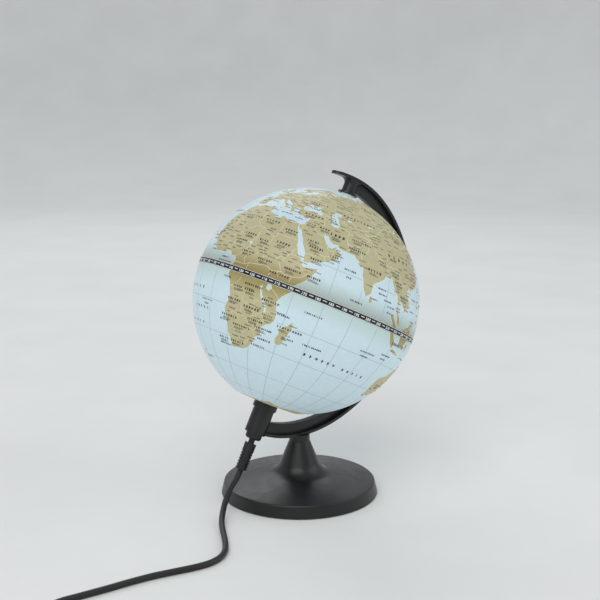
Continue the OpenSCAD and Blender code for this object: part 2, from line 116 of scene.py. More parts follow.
class Nodes:
    """A material with a Principled shader, and short calls that add and link nodes."""

    def __init__(self, name):
        self.material = bpy.data.materials.new(name)
        self.material.use_nodes = True
        self.tree = self.material.node_tree
        self.shader = self.tree.nodes["Principled BSDF"]
        self.coords = self.add("ShaderNodeTexCoord").outputs["Object"]

    def add(self, kind, **values):
        node = self.tree.nodes.new(kind)
        for key, value in values.items():
            if hasattr(node, key):
                setattr(node, key, value)
            else:
                node.inputs[key].default_value = value
        return node

    def link(self, a, b):
        self.tree.links.new(a, b)

    def set(self, **values):
        for key, value in values.items():
            self.shader.inputs[key.replace("_", " ")].default_value = value

    def noise(self, scale, detail=3.0, roughness=0.55):
        node = self.add("ShaderNodeTexNoise", Scale=scale, Detail=detail, Roughness=roughness)
        self.link(self.coords, node.inputs["Vector"])
        return node.outputs["Fac"]

    def ranged(self, value, low, high, to_low, to_high, smooth=False):
        node = self.add("ShaderNodeMapRange")
        if smooth:
            node.interpolation_type = "SMOOTHSTEP"
        for key, number in zip(("From Min", "From Max", "To Min", "To Max"), (low, high, to_low, to_high)):
            node.inputs[key].default_value = number
        self.link(value, node.inputs["Value"])
        return node.outputs["Result"]

    def mix(self, factor, a, b):
        node = self.add("ShaderNodeMix", data_type="RGBA")
        self.link(factor, node.inputs["Factor"])
        for socket, colour in (("A", a), ("B", b)):
            inputs = [i for i in node.inputs if i.name == socket and i.type == "RGBA"]
            if isinstance(colour, tuple):
                inputs[0].default_value = colour
            else:
                self.link(colour, inputs[0])
        return [o for o in node.outputs if o.type == "RGBA"][0]

    def math(self, operation, a, b=None):
        node = self.add("ShaderNodeMath", operation=operation)
        for i, value in enumerate(v for v in (a, b) if v is not None):
            if isinstance(value, (int, float)):
                node.inputs[i].default_value = value
            else:
                self.link(value, node.inputs[i])
        return node.outputs[0]

    def bump(self, height, strength, distance):
        node = self.add("ShaderNodeBump", Strength=strength, Distance=distance)
        self.link(height, node.inputs["Height"])
        self.link(node.outputs["Normal"], self.shader.inputs["Normal"])

    def sine_of_latitude(self):
        """-1 at the globe's south pole, 1 at its north pole."""
        shift = self.add("ShaderNodeVectorMath", operation="SUBTRACT")
        self.link(self.coords, shift.inputs[0])
        shift.inputs[1].default_value = GLOBE
        dot = self.add("ShaderNodeVectorMath", operation="DOT_PRODUCT")
        self.link(shift.outputs["Vector"], dot.inputs[0])
        dot.inputs[1].default_value = AXIS
        return self.math("DIVIDE", dot.outputs["Value"], GLOBE_R)


def moulded(name, colour, rough, grain=900.0, spread=0.06, strength=0.12):
    """Moulded plastic: slightly uneven gloss, fine grain and a little dust in its tone."""
    n = Nodes(name)
    tone = n.noise(38.0, 4.0)
    dark = tuple(c * 0.82 for c in colour[:3]) + (1.0,)
    light = tuple(min(1.0, c * 1.22 + 0.0006) for c in colour[:3]) + (1.0,)
    n.link(n.mix(n.ranged(tone, 0.3, 0.7, 0.0, 1.0), dark, light), n.shader.inputs["Base Color"])
    gloss = n.ranged(n.noise(120.0, 5.0), 0.3, 0.7, rough - spread, rough + spread)
    n.link(gloss, n.shader.inputs["Roughness"])
    n.bump(n.noise(grain, 2.0), strength, 0.00012)
    return n.material


def metal(name, colour, rough, brushed=1500.0):
    n = Nodes(name)
    n.set(Metallic=1.0)
    tone = n.noise(90.0, 4.0)
    dark = tuple(c * 0.8 for c in colour[:3]) + (1.0,)
    n.link(n.mix(n.ranged(tone, 0.35, 0.65, 0.0, 1.0), dark, colour), n.shader.inputs["Base Color"])
    gloss = n.ranged(n.noise(brushed, 3.0), 0.3, 0.7, rough - 0.08, rough + 0.08)
    n.link(gloss, n.shader.inputs["Roughness"])
    n.bump(n.noise(brushed, 2.0), 0.08, 0.00005)
    return n.material


def sleeved_metal(name, colour, sleeve, edge):
    """Plug pins: bare metal beyond a place along X, and a black sleeve short of it."""
    n = Nodes(name)
    along = n.add("ShaderNodeSeparateXYZ")
    n.link(n.coords, along.inputs["Vector"])
    bare = n.math("GREATER_THAN", along.outputs["X"], edge)
    worn = tuple(c * 0.85 for c in colour[:3]) + (1.0,)
    tone = n.mix(n.ranged(n.noise(150.0, 4.0), 0.3, 0.7, 0.0, 1.0), worn, colour)
    n.link(n.mix(bare, sleeve, tone), n.shader.inputs["Base Color"])
    n.link(bare, n.shader.inputs["Metallic"])
    n.link(n.ranged(n.noise(1200.0, 3.0), 0.3, 0.7, 0.24, 0.4), n.shader.inputs["Roughness"])
    return n.material


def rough_stuff(name, colour, rough, scale, strength, distance):
    """Felt, hardboard, cast iron and ceramic: a coarse tone and a visible surface."""
    n = Nodes(name)
    tone = n.noise(scale, 5.0)
    dark = tuple(c * 0.6 for c in colour[:3]) + (1.0,)
    n.link(n.mix(n.ranged(tone, 0.3, 0.7, 0.0, 1.0), dark, colour), n.shader.inputs["Base Color"])
    n.set(Roughness=rough)
    n.bump(tone, strength, distance)
    return n.material


GLOW = 0.38  # share of the printed colours that comes from the lamp inside


def printed(name, colour, shaded, south_belt_shade, speckle, blotch=None):
    """Print on the lit shell, with painted shade in its colour. The joint ring keeps the lamp's light off a belt
    just north of the equator, a weaker painted shade lies just south of it, and the print darkens towards the
    north.
    """
    n = Nodes(name)
    s = n.sine_of_latitude()
    paper = n.ranged(n.noise(260.0, 4.0), 0.25, 0.75, 0.0, 1.0)
    base = n.mix(paper, tuple(c * (1 - speckle) for c in colour[:3]) + (1.0,), colour)
    if blotch:
        base = n.mix(n.ranged(n.noise(34.0, 5.0, 0.6), 0.48, 0.72, 0.0, 0.75), base, blotch)
    # painted shade: the print darkens towards the north, as less of the lamp's light reaches it
    north_shade = tuple(c * 0.5 for c in colour[:3]) + (1.0,)
    base = n.mix(n.ranged(s, 0.05, 0.45, 0.0, 0.24), base, north_shade)  # the lamp sits south of the centre
    near = n.ranged(s, 0.0, 0.21, 1.0, 0.0, smooth=True)
    north = n.math("GREATER_THAN", s, 0.0)
    base = n.mix(n.math("MULTIPLY", near, north), base, shaded)
    # painted shade: a weaker, more golden belt just south of the band
    below = n.ranged(s, -0.2, -0.02, 0.0, 0.9, smooth=True)
    base = n.mix(n.math("MULTIPLY", below, n.math("LESS_THAN", s, 0.0)), base, south_belt_shade)
    n.link(base, n.shader.inputs["Base Color"])
    n.link(base, n.shader.inputs["Emission Color"])
    n.set(Emission_Strength=GLOW, Roughness=0.5, Specular_IOR_Level=0.25, Coat_Weight=0.1, Coat_Roughness=0.3)
    n.bump(n.noise(420.0, 2.0), 0.05, 0.0001)
    return n.material


def ink(name, colour, glow=GLOW):
    n = Nodes(name)
    faint = tuple(c * 0.8 for c in colour[:3]) + (1.0,)
    tone = n.mix(n.ranged(n.noise(700.0, 3.0), 0.3, 0.7, 0.0, 1.0), faint, colour)
    n.link(tone, n.shader.inputs["Base Color"])
    n.link(tone, n.shader.inputs["Emission Color"])
    n.set(Emission_Strength=glow, Roughness=0.4)
    return n.material


FINISHES = {
    "black_plastic": (moulded, srgb(0.075, 0.075, 0.08), 0.34),
    "base_plastic": (moulded, srgb(0.07, 0.07, 0.075), 0.36),
    "cord_pvc": (moulded, srgb(0.075, 0.075, 0.08), 0.46, 1400.0),
    "nylon": (moulded, srgb(0.1, 0.1, 0.1), 0.5),
    "white_plastic": (moulded, srgb(0.9, 0.9, 0.87), 0.42),
    "zinc_steel": (metal, srgb(0.72, 0.72, 0.7), 0.34),
    "nickel": (metal, srgb(0.8, 0.79, 0.76), 0.24),
    "brass": (metal, srgb(0.83, 0.68, 0.36), 0.3),
    "ballast_iron": (rough_stuff, srgb(0.3, 0.3, 0.3), 0.7, 160.0, 0.4, 0.0004),
    "felt_pad": (rough_stuff, srgb(0.14, 0.14, 0.14), 0.95, 900.0, 0.6, 0.0004),
    "hardboard": (rough_stuff, srgb(0.2, 0.17, 0.14), 0.8, 500.0, 0.2, 0.0002),
    "socket_ceramic": (rough_stuff, srgb(0.92, 0.9, 0.86), 0.25, 60.0, 0.02, 0.0002),
    "wire_pvc": (moulded, srgb(0.42, 0.24, 0.12), 0.45),
    "opal_plastic": (ink, srgb(0.97, 0.98, 1.0), 2.0),
}
SLOT_MATERIALS = {slot: make(slot, *values) for slot, (make, *values) in FINISHES.items()}
WHITE = SLOT_MATERIALS["white_plastic"]
PINS = sleeved_metal("plug_pin_metal", srgb(0.8, 0.79, 0.76), srgb(0.09, 0.09, 0.095), -104.5 * MM)

# --- mains lead ---

LEAD = [
    (-61, 0, 32.2), (-63.4, 0, 27.4), (-67.4, -2, 23.8), (-72.4, -5, 20.8), (-77.4, -8.6, 17.8),
    (-82.4, -13, 14.2), (-87.8, -18.8, 10.4), (-93, -25.4, 7), (-98, -33, 4.4), (-102.4, -41.4, 2.9),
    (-107, -52, 2.5), (-112, -63.6, 2.5), (-117.6, -75.6, 2.5), (-124, -86.4, 2.5), (-132.4, -94.8, 2.5),
    (-143, -99.6, 2.5), (-155, -100.6, 2.5), (-170, -99.4, 2.5), (-190, -97.4, 2.5), (-210, -97.6, 2.5),
    (-230, -98.8, 2.5), (-250, -99.4, 2.5), (-263, -99.8, 2.5), (-272, -102.4, 2.5), (-280.6, -108.4, 2.7),
    (-286.6, -116.4, 3.4), (-289.6, -125.4, 4.4), (-290, -132, 4.9), (-290, -139, 5),
    (-290, -164, 5), (-290, -189, 5), (-290, -196, 4.9), (-290, -202, 4.4),
    (-290, -208, 3.6), (-290, -216, 3.2),
]
TAIL = [
    (-247, -260.5, 8), (-236, -260.5, 6.6), (-225, -260.5, 4.4), (-214, -260.5, 2.8),
    (-203, -260.5, 2.6), (-193, -260.5, 3.8), (-183, -260.5, 5.8), (-172, -260.5, 6.85),
]
COIL_AT = (-257.5, -228)
COIL_OUT, COIL_IN = 32.5, 22.5  # centre lines of the outermost and innermost turns, in mm
COIL_LOW, COIL_HIGH = 3.2, 8.2  # centre heights of the two layers, in mm
TURN_POINTS = 24
RISE_POINTS = 7  # points over which the lead climbs to the upper layer


def coil_points():
    """Three turns inwards on the lower layer, then outwards on the upper one, in mm."""
    points = [(math.pi, COIL_OUT, COIL_LOW)]
    layers = (3.0, COIL_OUT, COIL_IN, COIL_LOW), (3.25, COIL_IN, COIL_OUT, COIL_HIGH)
    for turns, radius, last_radius, height in layers:
        start = points[-1][0]
        steps = int(turns * TURN_POINTS)
        for i in range(1, steps + 1):
            t = i / steps
            rise = min(1.0, i / RISE_POINTS)
            points.append((start + turns * math.tau * t, radius + (last_radius - radius) * t,
                           COIL_LOW + (height - COIL_LOW) * rise))
    return [(COIL_AT[0] + r * math.cos(a), COIL_AT[1] + r * math.sin(a), z) for a, r, z in points]


def smooth_line(points, between=4):
    """Catmull-Rom curve through given points."""
    line = []
    ext = [points[0] * 2 - points[1], *points, points[-1] * 2 - points[-2]]
    for p0, p1, p2, p3 in zip(ext, ext[1:], ext[2:], ext[3:]):
        for i in range(between):
            t = i / between
            line.append(0.5 * ((2 * p1) + (p2 - p0) * t + (2 * p0 - 5 * p1 + 4 * p2 - p3) * t * t
                               + (3 * p1 - p0 - 3 * p2 + p3) * t ** 3))
    line.append(points[-1])
    return line


def make_lead():
    route = [Vector(p) * MM for p in [*LEAD, *coil_points(), *TAIL]]
    line = smooth_line(route, 3)
    curve = bpy.data.curves.new("lead", "CURVE")
    curve.dimensions = "3D"
    spline = curve.splines.new("POLY")
    spline.points.add(len(line) - 1)
    for point, place in zip(spline.points, line):
        point.co = (*place, 1.0)
    curve.bevel_depth = CORD_D / 2
    curve.bevel_resolution = 5
    curve.use_fill_caps = True
    curve.materials.append(SLOT_MATERIALS["cord_pvc"])
    lead = bpy.data.objects.new("lead", curve)
    bpy.context.scene.collection.objects.link(lead)
    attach(lead, "stand")
    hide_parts("mains_lead", "lead_link", "lead_coil", "lead_tail")


make_lead()

# --- floor and light ---


def make_floor():
    """A pale floor that rises softly into a low wall all round."""
    floor_r, wall_r, wall_h = 2.4, 3.6, 1.3
    profile = [(0.0, 0.0), (0.4, 0.0), (1.2, 0.0), (floor_r, 0.0)]
    for i in range(1, 13):
        a = math.radians(7.5 * i)
        profile.append((floor_r + (wall_r - floor_r) * math.sin(a), wall_h * (1 - math.cos(a))))
    around = 96
    verts, faces = [], []
    for i in range(around):
        a = 2 * math.pi * i / around
        verts += [(r * math.cos(a), r * math.sin(a), z) for r, z in profile]
    n = len(profile)
    for i in range(around):
        j = (i + 1) % around
        faces += [(i * n + k, j * n + k, j * n + k + 1, i * n + k + 1) for k in range(n - 1)]
    n_floor = Nodes("floor")
    n_floor.set(Roughness=0.75)
    tone = n_floor.ranged(n_floor.noise(6.0, 4.0), 0.3, 0.7, 0.0, 1.0)
    colour = n_floor.mix(tone, srgb(0.88, 0.88, 0.87), srgb(0.9, 0.9, 0.89))
    n_floor.link(colour, n_floor.shader.inputs["Base Color"])
    floor = new_mesh("floor", verts, faces, [n_floor.material])


def area_light(name, at, aim, size, power, colour):
    data = bpy.data.lights.new(name, "AREA")
    data.shape = "RECTANGLE"
    data.size, data.size_y = size
    data.energy = power
    data.color = colour
    point_at(bpy.data.objects.new(name, data), at, aim)


def make_lights():
    world = bpy.data.worlds.new("world")
    world.use_nodes = True
    background = world.node_tree.nodes["Background"]
    background.inputs["Color"].default_value = srgb(0.86, 0.88, 0.9)
    background.inputs["Strength"].default_value = 0.72
    bpy.context.scene.world = world
    bpy.context.scene.view_settings.view_transform = "Standard"
    target = (0, 0, 0.12)
    area_light("key", (-1.3, -1.3, 2.1), target, (2.0, 2.0), 30, (1.0, 0.98, 0.96))
    area_light("fill", (1.7, -1.2, 1.4), target, (1.8, 1.8), 10, (0.95, 0.97, 1.0))
    area_light("back", (0.6, 1.9, 1.8), target, (2.0, 1.2), 13, (0.96, 0.98, 1.0))


make_floor()
make_lights()

# --- the map: outlines as longitude,latitude in degrees ---

LAND = {
    "africa": """
-6,35.8 -3,35.2 -2,35.1 1,36.4 5,36.8 8,37 10,37.3 11,37 10.5,35.8 11,34.5 10.2,34 11.5,33.2 13,32.9
15.2,32.3 15.8,31.4 18,30.5 20,31 20,32.2 21.5,32.9 23.2,32.2 25,31.7 27,31.2 29,30.9 31,31.5 32.6,31.2
32.6,29.9 33.2,28.4 34,26.8 35,24.8 35.6,23.9 36.9,22 37.2,20.8 37.2,19.5 38.5,18.2 39,16.5 39.8,15.3
41.2,14.6 42.8,12.8 43.3,11.6 44.3,10.4 46.8,10.8 49,11.3 51.2,11.9 51,10.5 50,8 48,4.5 46,2.4 43.5,0.3
42,-1.2 40.6,-2.6 39.6,-4.3 38.8,-6 39.5,-7.5 39.5,-9 40.4,-10.4 40.6,-12.5 40.6,-14.8 39.5,-16.5 37,-17.9
35,-19.8 34.8,-20.6 35.5,-22 35.5,-23.8 33,-25.3 32.7,-27 32,-28.8 30.8,-30.6 29,-32.6 27,-33.6 25.5,-34
22.5,-34.1 20,-34.8 18.4,-34.2 18.3,-32.6 17,-30 15.6,-27.8 14.6,-24.5 14.4,-22.5 12.8,-19 11.8,-17.3
12.3,-15 13.5,-12.5 13.8,-10.7 13,-8.8 12.2,-6 11.8,-4.6 9.8,-2.7 8.9,-0.8 9.4,0.8 9.7,2.4 9.6,3.8 8.6,4.7
7,4.4 5.9,4.4 5,5.8 3.5,6.4 1,5.9 -2,4.8 -4,5.2 -7.5,4.4 -9.2,5.9 -11.3,6.9 -13,8.5 -13.6,9.8 -15,11
-16.6,12.3 -16.7,13.5 -17.4,14.7 -16.5,16 -16.1,18.5 -16.4,19.8 -17,21 -16,23.5 -14.8,25.8 -13,27.7
-11,28.8 -9.7,30 -9.7,31.6 -8,33.4 -6.8,34.2""",
    "eurasia": """
32.6,31.2 34.3,31.3 35,32.8 35.9,35.6 36,36.8 34,36.3 32.4,36.1 30.6,36.8 29,36.4 27.4,37 26.3,38.3
26.8,39.5 26.2,40.1 28,40.5 26.1,40.8 24,40.8 22.9,40.4 23.2,39.2 24,38 23,36.6 21.7,36.8 21.2,38.2 20,39.7
19.4,41 19.3,42 17.5,43 15.2,44.2 13.7,45.1 12.4,45.4 12.4,44.2 14,42.5 16,41.7 18.4,40.2 17,40.5 16.9,39
15.8,38 15.8,39.8 14,40.9 12,41.9 10.4,43.3 8.8,44.4 7,43.5 4.8,43.4 3.1,43 3.2,41.8 0.8,40.8 -0.3,39.4
0,38.7 -1,37.6 -2.3,36.8 -4.5,36.7 -5.6,36.1 -6.5,37 -8.9,37 -9.4,38.7 -8.8,41 -9.2,43.1 -7.8,43.7 -4,43.4
-1.7,43.4 -1.2,45.2 -2,47 -4.6,48 -4.4,48.6 -1.6,48.7 -1.7,49.7 0.2,49.6 1.6,50.5 3.5,51.4 4.8,53 7,53.6
8.7,54 8.2,56.4 10.4,57.6 10.6,56.2 9.8,54.8 11.2,54 14.2,54 18.5,54.7 20,54.8 21.1,56.5 22.8,57.5
24.3,57.2 23.7,59 27.5,59.5 29.5,60 28,60.5 23.2,59.9 21.4,61 21.4,63 25.2,65 24.2,65.8 22,65.4 21.4,64.2
18,62.4 17.3,60.8 18.8,59.9 16.6,58 16.2,56.5 14.4,55.5 12.8,55.6 11.4,58.5 10.5,59.4 8,58.2 5.6,59
5.1,61.8 9,63.6 12.5,66 15,68.2 19.5,70 25.5,71 31,70.2 33,69.4 38,68.4 41.1,67.3 40.4,66.3 34.5,66.8
32.5,67 34.8,64.4 38,64 40.4,64.6 42.2,66.4 44,66.1 43.6,68.4 46,67.9 49,67.8 54,68.4 60,68.7 61,69.8
66.5,68.8 68.5,68.4 66.8,71 68.5,72.6 72.7,72.6 72.5,69.5 73.8,68.2 74.5,72.8 80.5,73.6 87,75 95,76.2
104.3,77.7 112,76 113.5,73.8 123,73 128,72.6 130,71 139.5,72.4 150,71.4 160,69.7 170,69.8 180,68.9 187,67
190,66 186,65 180,64.9 177.4,62.6 170.3,60 163.5,59.8 162,58 163,56 160,53 156.7,51 155.7,55 157,57.8
161.8,60.4 164,62.4 156.8,61.6 154,59.5 146,59.4 142.5,59.2 137.5,54.2 141,53 140.4,49 137,45.5 132,43.2
130.7,42.3 129.7,41 127.5,39.6 129.4,37 129.2,35.3 126.4,34.4 126.6,37.2 125,38 125.3,39.5 121.3,38.8
121.8,40.8 118,39.2 119,37.3 122.5,37.2 119.3,34.8 121.8,31.8 122,30 121,28 119.3,25.6 116.6,23.2
113.6,22.2 110.6,21.2 109.8,20.3 108.3,21.6 106,19.8 106.5,17.8 109,15 109.3,12.4 107,10.4 105,8.7
104.8,10.4 102.8,11.8 100.9,13.5 100,12.5 99.3,10 100.4,7.5 102.3,6.1 103.4,4.4 104.2,1.4 103.5,1.3
101.3,2.9 100.3,5.8 98.4,8 98.5,11 97.7,15 96.2,16.2 94.4,16 94.4,18 92.3,20.8 91.6,22.5 89,21.8 87,21.4
86.5,20 82.3,16.8 80.3,15.5 80.2,13 79.9,10.4 78.2,8.9 77.5,8.1 76.4,9.8 75,12 74.3,14.8 73,17.5 72.8,20.2
72.5,21.4 70.9,20.8 69,22.3 70.3,22.9 68.2,23.6 66.6,25.3 61.6,25.2 57.3,25.7 56.5,27.1 54,26.6 51.5,27.9
50,30.1 48,30 48.4,28.4 50.2,26.5 50.8,25 51.3,26.1 51.7,24.4 54,24.2 56.3,26.2 56.4,24.6 58.7,23.5
59.8,22.4 58,20.2 57.7,18.9 55.2,17.4 52.2,15.7 49,14.2 45.2,12.9 43.4,12.7 42.8,15.3 42.6,16.8 40.8,19.6
39,21.8 38.5,23.6 37.2,25 35.5,27.9 34.6,28.1 35,29.5 34.3,27.9 32.7,29.9""",
    "madagascar": """
49.3,-12.1 50.3,-15.5 49.5,-17 48.5,-20.5 47.3,-24.6 45.4,-25.5 44,-24.8 43.4,-22.5 44.4,-20 44.2,-17.5
45.5,-15.8 47.5,-14.8 48.2,-13.6""",
    "sri_lanka": "79.8,9.7 81.2,8.8 81.8,7 80.6,6 79.8,7",
    "sumatra": """
95.3,5.6 97.5,5.2 100.4,2.6 103.6,-0.8 106,-3 105.8,-5.8 104.6,-5.8 102.3,-4 100.4,-1 98.7,1.6 96,4""",
    "java": "105.3,-6.8 106.8,-6 110.8,-6.5 114.4,-7.7 114.4,-8.6 110,-8.1 106.5,-7.4",
    "borneo": """
109.5,1.9 111.5,2.6 113.5,3.4 116.8,7 119,5.2 117.8,3.4 118.8,0.9 116.5,-2.2 116.2,-4 114.5,-3.6 111.8,-3.4
110.2,-2.8 109,0.2""",
    "sulawesi": """
119.8,0.8 121,1.2 124.8,1.5 123.2,0.4 120.4,0.4 120.6,-1.2 123.2,-0.8 121.8,-1.9 122.7,-4.2 121.6,-4.8
120.9,-2.8 120.4,-5.5 119.5,-5.4 119,-2.6 119.8,-0.2""",
    "flores": "116.4,-8.6 119,-8.4 123,-8.5 122.6,-9 117,-9.1",
    "timor": "123.6,-10.3 125,-9 127.2,-8.4 125.4,-9.6",
    "new_guinea": """
131,-0.6 134,-0.8 135,-3.2 138,-1.7 144.5,-3.8 147.8,-6.6 150.8,-10.4 147.2,-9.4 143.8,-8.6 142.6,-9.3
139,-8 137.8,-5.2 133,-3.9 132.6,-2.2""",
    "luzon": "120.4,16 120.6,18.5 122.2,18.4 121.6,15.8 124,13 120.8,13.9",
    "mindanao": "122,7 123.8,8.6 125.5,9.8 126.5,7.4 125.4,5.7 124,7",
    "visayas": "122,11.8 124,11.4 125.2,12.4 125,10.2 123,9.4 122.4,10.2",
    "taiwan": "120.1,23 121.6,25.2 121.8,24.4 120.8,22",
    "hainan": "108.7,19.2 110.6,20.1 110.4,18.8 109.2,18.3",
    "kyushu": "130,33 131.8,33.6 131.4,31.4 130.3,31.3",
    "honshu": """
131,34.2 133,35.5 136,35.8 137.2,37.4 139.4,38.2 140.2,40.8 141.4,41.3 142,39.5 140.8,36.6 139.8,35
137,34.6 135.8,33.5 132.6,33.3""",
    "hokkaido": "140,41.6 140.6,43.4 141.7,45.4 145.3,43.4 143.2,42",
    "sakhalin": "142,46.2 142.2,49 142,53.5 143,54 144.2,49.2 143.4,46.4",
    "australia": """
114,-22 113.6,-24.5 113.5,-26.4 115,-30 115.7,-32 115.1,-34.3 118,-35 120.5,-33.9 124,-33.3 126.5,-32.3
131.2,-31.5 134.2,-32.8 135.8,-34.8 137.8,-33 138,-35.5 140,-37.6 143.6,-38.8 146.4,-39 150,-37.4 151.2,-34
153,-31 153.3,-27 151,-23.8 149.2,-21 146.2,-18.9 145.4,-15 143.6,-14 142.5,-10.8 141.6,-13 141,-17
139.5,-17.5 136,-15.5 136.8,-12.2 132.6,-11.4 130.8,-12.4 129.4,-14.9 126.6,-14.1 124.4,-16.2 122.3,-18.1
120.5,-19.7 117,-20.7""",
    "tasmania": "144.8,-40.8 148.2,-40.9 147.8,-43.2 146,-43.4",
    "new_zealand_north": """
172.8,-34.5 175.5,-36.8 178.4,-37.7 177,-39.6 175.2,-41.5 173.9,-39.3 174.8,-37.8""",
    "new_zealand_south": """
172.7,-40.6 174.2,-41.7 172.8,-43.8 170.6,-45.9 168.4,-46.6 166.6,-45.8 168.8,-43.9""",
    "britain": """
-5.6,50.1 -3,50.6 1.3,51.1 1.6,52.7 0.2,53 -1.6,55 -2,57.4 -3.2,58.6 -5,58.6 -5.8,57.2 -4.8,55 -3,54
-4.6,53 -5,51.9 -3.2,51.4""",
    "ireland": "-10,51.7 -6.3,52.2 -6,54 -7.4,55.3 -9.8,54.2",
    "iceland": "-24,65.4 -22,64 -18.8,63.4 -14,64.6 -15,66.3 -20,66",
    "svalbard": "11,79.4 16,76.7 24,78.2 27,80 20,80.6",
    "novaya_zemlya": "52,71.4 57,70.7 56,73.4 68.5,76.8 66,77 55.5,75 53,73",
    "severnaya_zemlya": "95,79 103,78 105,79.3 98,81",
    "sicily": "12.5,38 15.5,38.2 15.1,36.7",
    "sardinia": "8.3,41 9.6,41.2 9.5,39.2 8.4,39",
    "corsica": "8.6,42.6 9.5,43 9.3,41.5",
    "crete": "23.6,35.5 26.2,35.2 24.8,34.9",
    "cyprus": "32.4,35 34.4,35.6 33.6,34.7",
    "socotra": "53.3,12.6 54.5,12.7 54,12.3",
    "north_america": """
-168,65.6 -161,66.3 -166.5,68.3 -156.5,71.2 -141,69.7 -135,69.2 -127,70.2 -115,68.2 -108,68 -96,67.5
-94,71.6 -88,68.5 -82,69.5 -82,67 -86,66.4 -94,61 -94.5,58.8 -92,57 -82.4,55.2 -82,53 -79.5,51.3 -79,54.5
-76.7,57.5 -78,62.4 -72,61.6 -69.6,60.9 -69,58.8 -64.6,60.3 -61.5,56.5 -56,52.5 -60,50.2 -66.5,50.2
-71,46.9 -65,49.2 -64.5,47 -61,45.6 -66,43.6 -66.8,44.8 -70.6,43 -70,41.7 -74,40.5 -75.6,37.5 -76,35.2
-79,33.2 -81.4,31 -80.1,26.8 -81.3,25.4 -82.8,28 -84,30 -89.4,30.2 -91,29.2 -94.8,29.4 -97.3,27.5
-97.7,22.5 -96,19.2 -94.4,18.2 -91.4,18.6 -90.4,21 -87,21.4 -88.2,18 -88.6,15.8 -83.4,15 -83.7,11 -81.5,9
-79.6,9.5 -77.4,8.6 -77.9,7.2 -80,7.6 -82.8,8.2 -85.8,10 -87.6,13 -92,14.5 -95,16 -99.7,16.7 -105.4,19.9
-105.6,22.4 -109.3,25.8 -112.8,30 -114.7,31.6 -111.4,26.2 -109.5,23 -112.2,25 -115,29.3 -117.2,32.6
-120.6,34.6 -122.5,37.6 -124.3,40.4 -124,46.2 -124.6,48.3 -127.5,51 -130.5,54.6 -134,58 -139.5,59.7
-146,60.8 -151.6,59.4 -154,58.8 -158.5,56 -163,54.8 -158,58.6 -162,60 -165.6,61.5 -161,64.2""",
    "south_america": """
-77.4,8.6 -75.6,10.8 -71.6,12.3 -68.4,11.2 -62,10.6 -57.5,6.2 -51.8,4.6 -50,1 -48,-0.8 -44,-2.6 -39.8,-2.9
-35.3,-5.2 -34.9,-8 -37.2,-11.6 -39,-13.5 -39.2,-17.7 -41,-21.8 -44.6,-23.2 -48.6,-26 -49.6,-29.2
-53.4,-33.8 -57,-34.6 -58.4,-34 -57,-36.6 -62,-38.9 -65,-41 -63.8,-42.6 -67.4,-46 -65.8,-47.8 -69.2,-51
-68.2,-52.8 -65.2,-54.8 -69,-55.4 -73.6,-53 -75.4,-48.5 -74,-45 -73.6,-39.5 -71.6,-33 -70.4,-25 -70.2,-18.5
-76.2,-13.8 -79.6,-7.4 -81.2,-4.4 -80,-2.6 -80,0.8 -77.4,4 -77.9,7.2""",
    "greenland": """
-73,78.2 -66,80.8 -45,82.2 -32,83.5 -20,82 -18,79 -20,74.5 -24,71 -32,68.3 -40,65 -43.4,60 -50,62 -53.6,67
-51.5,70 -57,74.5 -66,76""",
    "baffin": "-62,66.5 -67,63 -72,63.4 -78,65 -73,68.2 -88,70.4 -88,73.6 -80,73.7 -70,71",
    "victoria": "-116,69.3 -105,69 -102,71 -105,73 -117.5,72.8",
    "banks": "-125,72 -120,71.6 -117,73.4 -122,74.4",
    "ellesmere": "-62,82.4 -90,81 -88,77 -78,76.4 -76,79",
    "newfoundland": "-59.3,47.8 -53,46.8 -53.4,49.2 -56,51.4",
    "cuba": "-84.8,22 -81,23.1 -74.3,20.2 -77.6,19.9",
    "hispaniola": "-74.4,18.4 -72.8,19.9 -68.5,18.6 -71.4,17.8",
    "antarctica": """
-180,-78 -158,-77 -150,-76.5 -137,-75 -115,-74.2 -101,-73 -90,-73 -75,-73 -68,-69 -62,-64.6 -57.5,-63.4
-61,-68 -62,-74 -60,-75 -50,-78 -36,-78.4 -28,-76 -18,-73 -10,-71.2 0,-70.2 10,-70 20,-70 33,-68.6 40,-69.4
48,-67.6 55,-66 62,-67.5 70,-68.6 73,-69.8 80,-68 90,-66.8 100,-66 112,-66.2 120,-66.9 130,-66.2 136,-66.2
144,-67 152,-68.5 162,-70.5 170,-71.6 165,-77""",
}
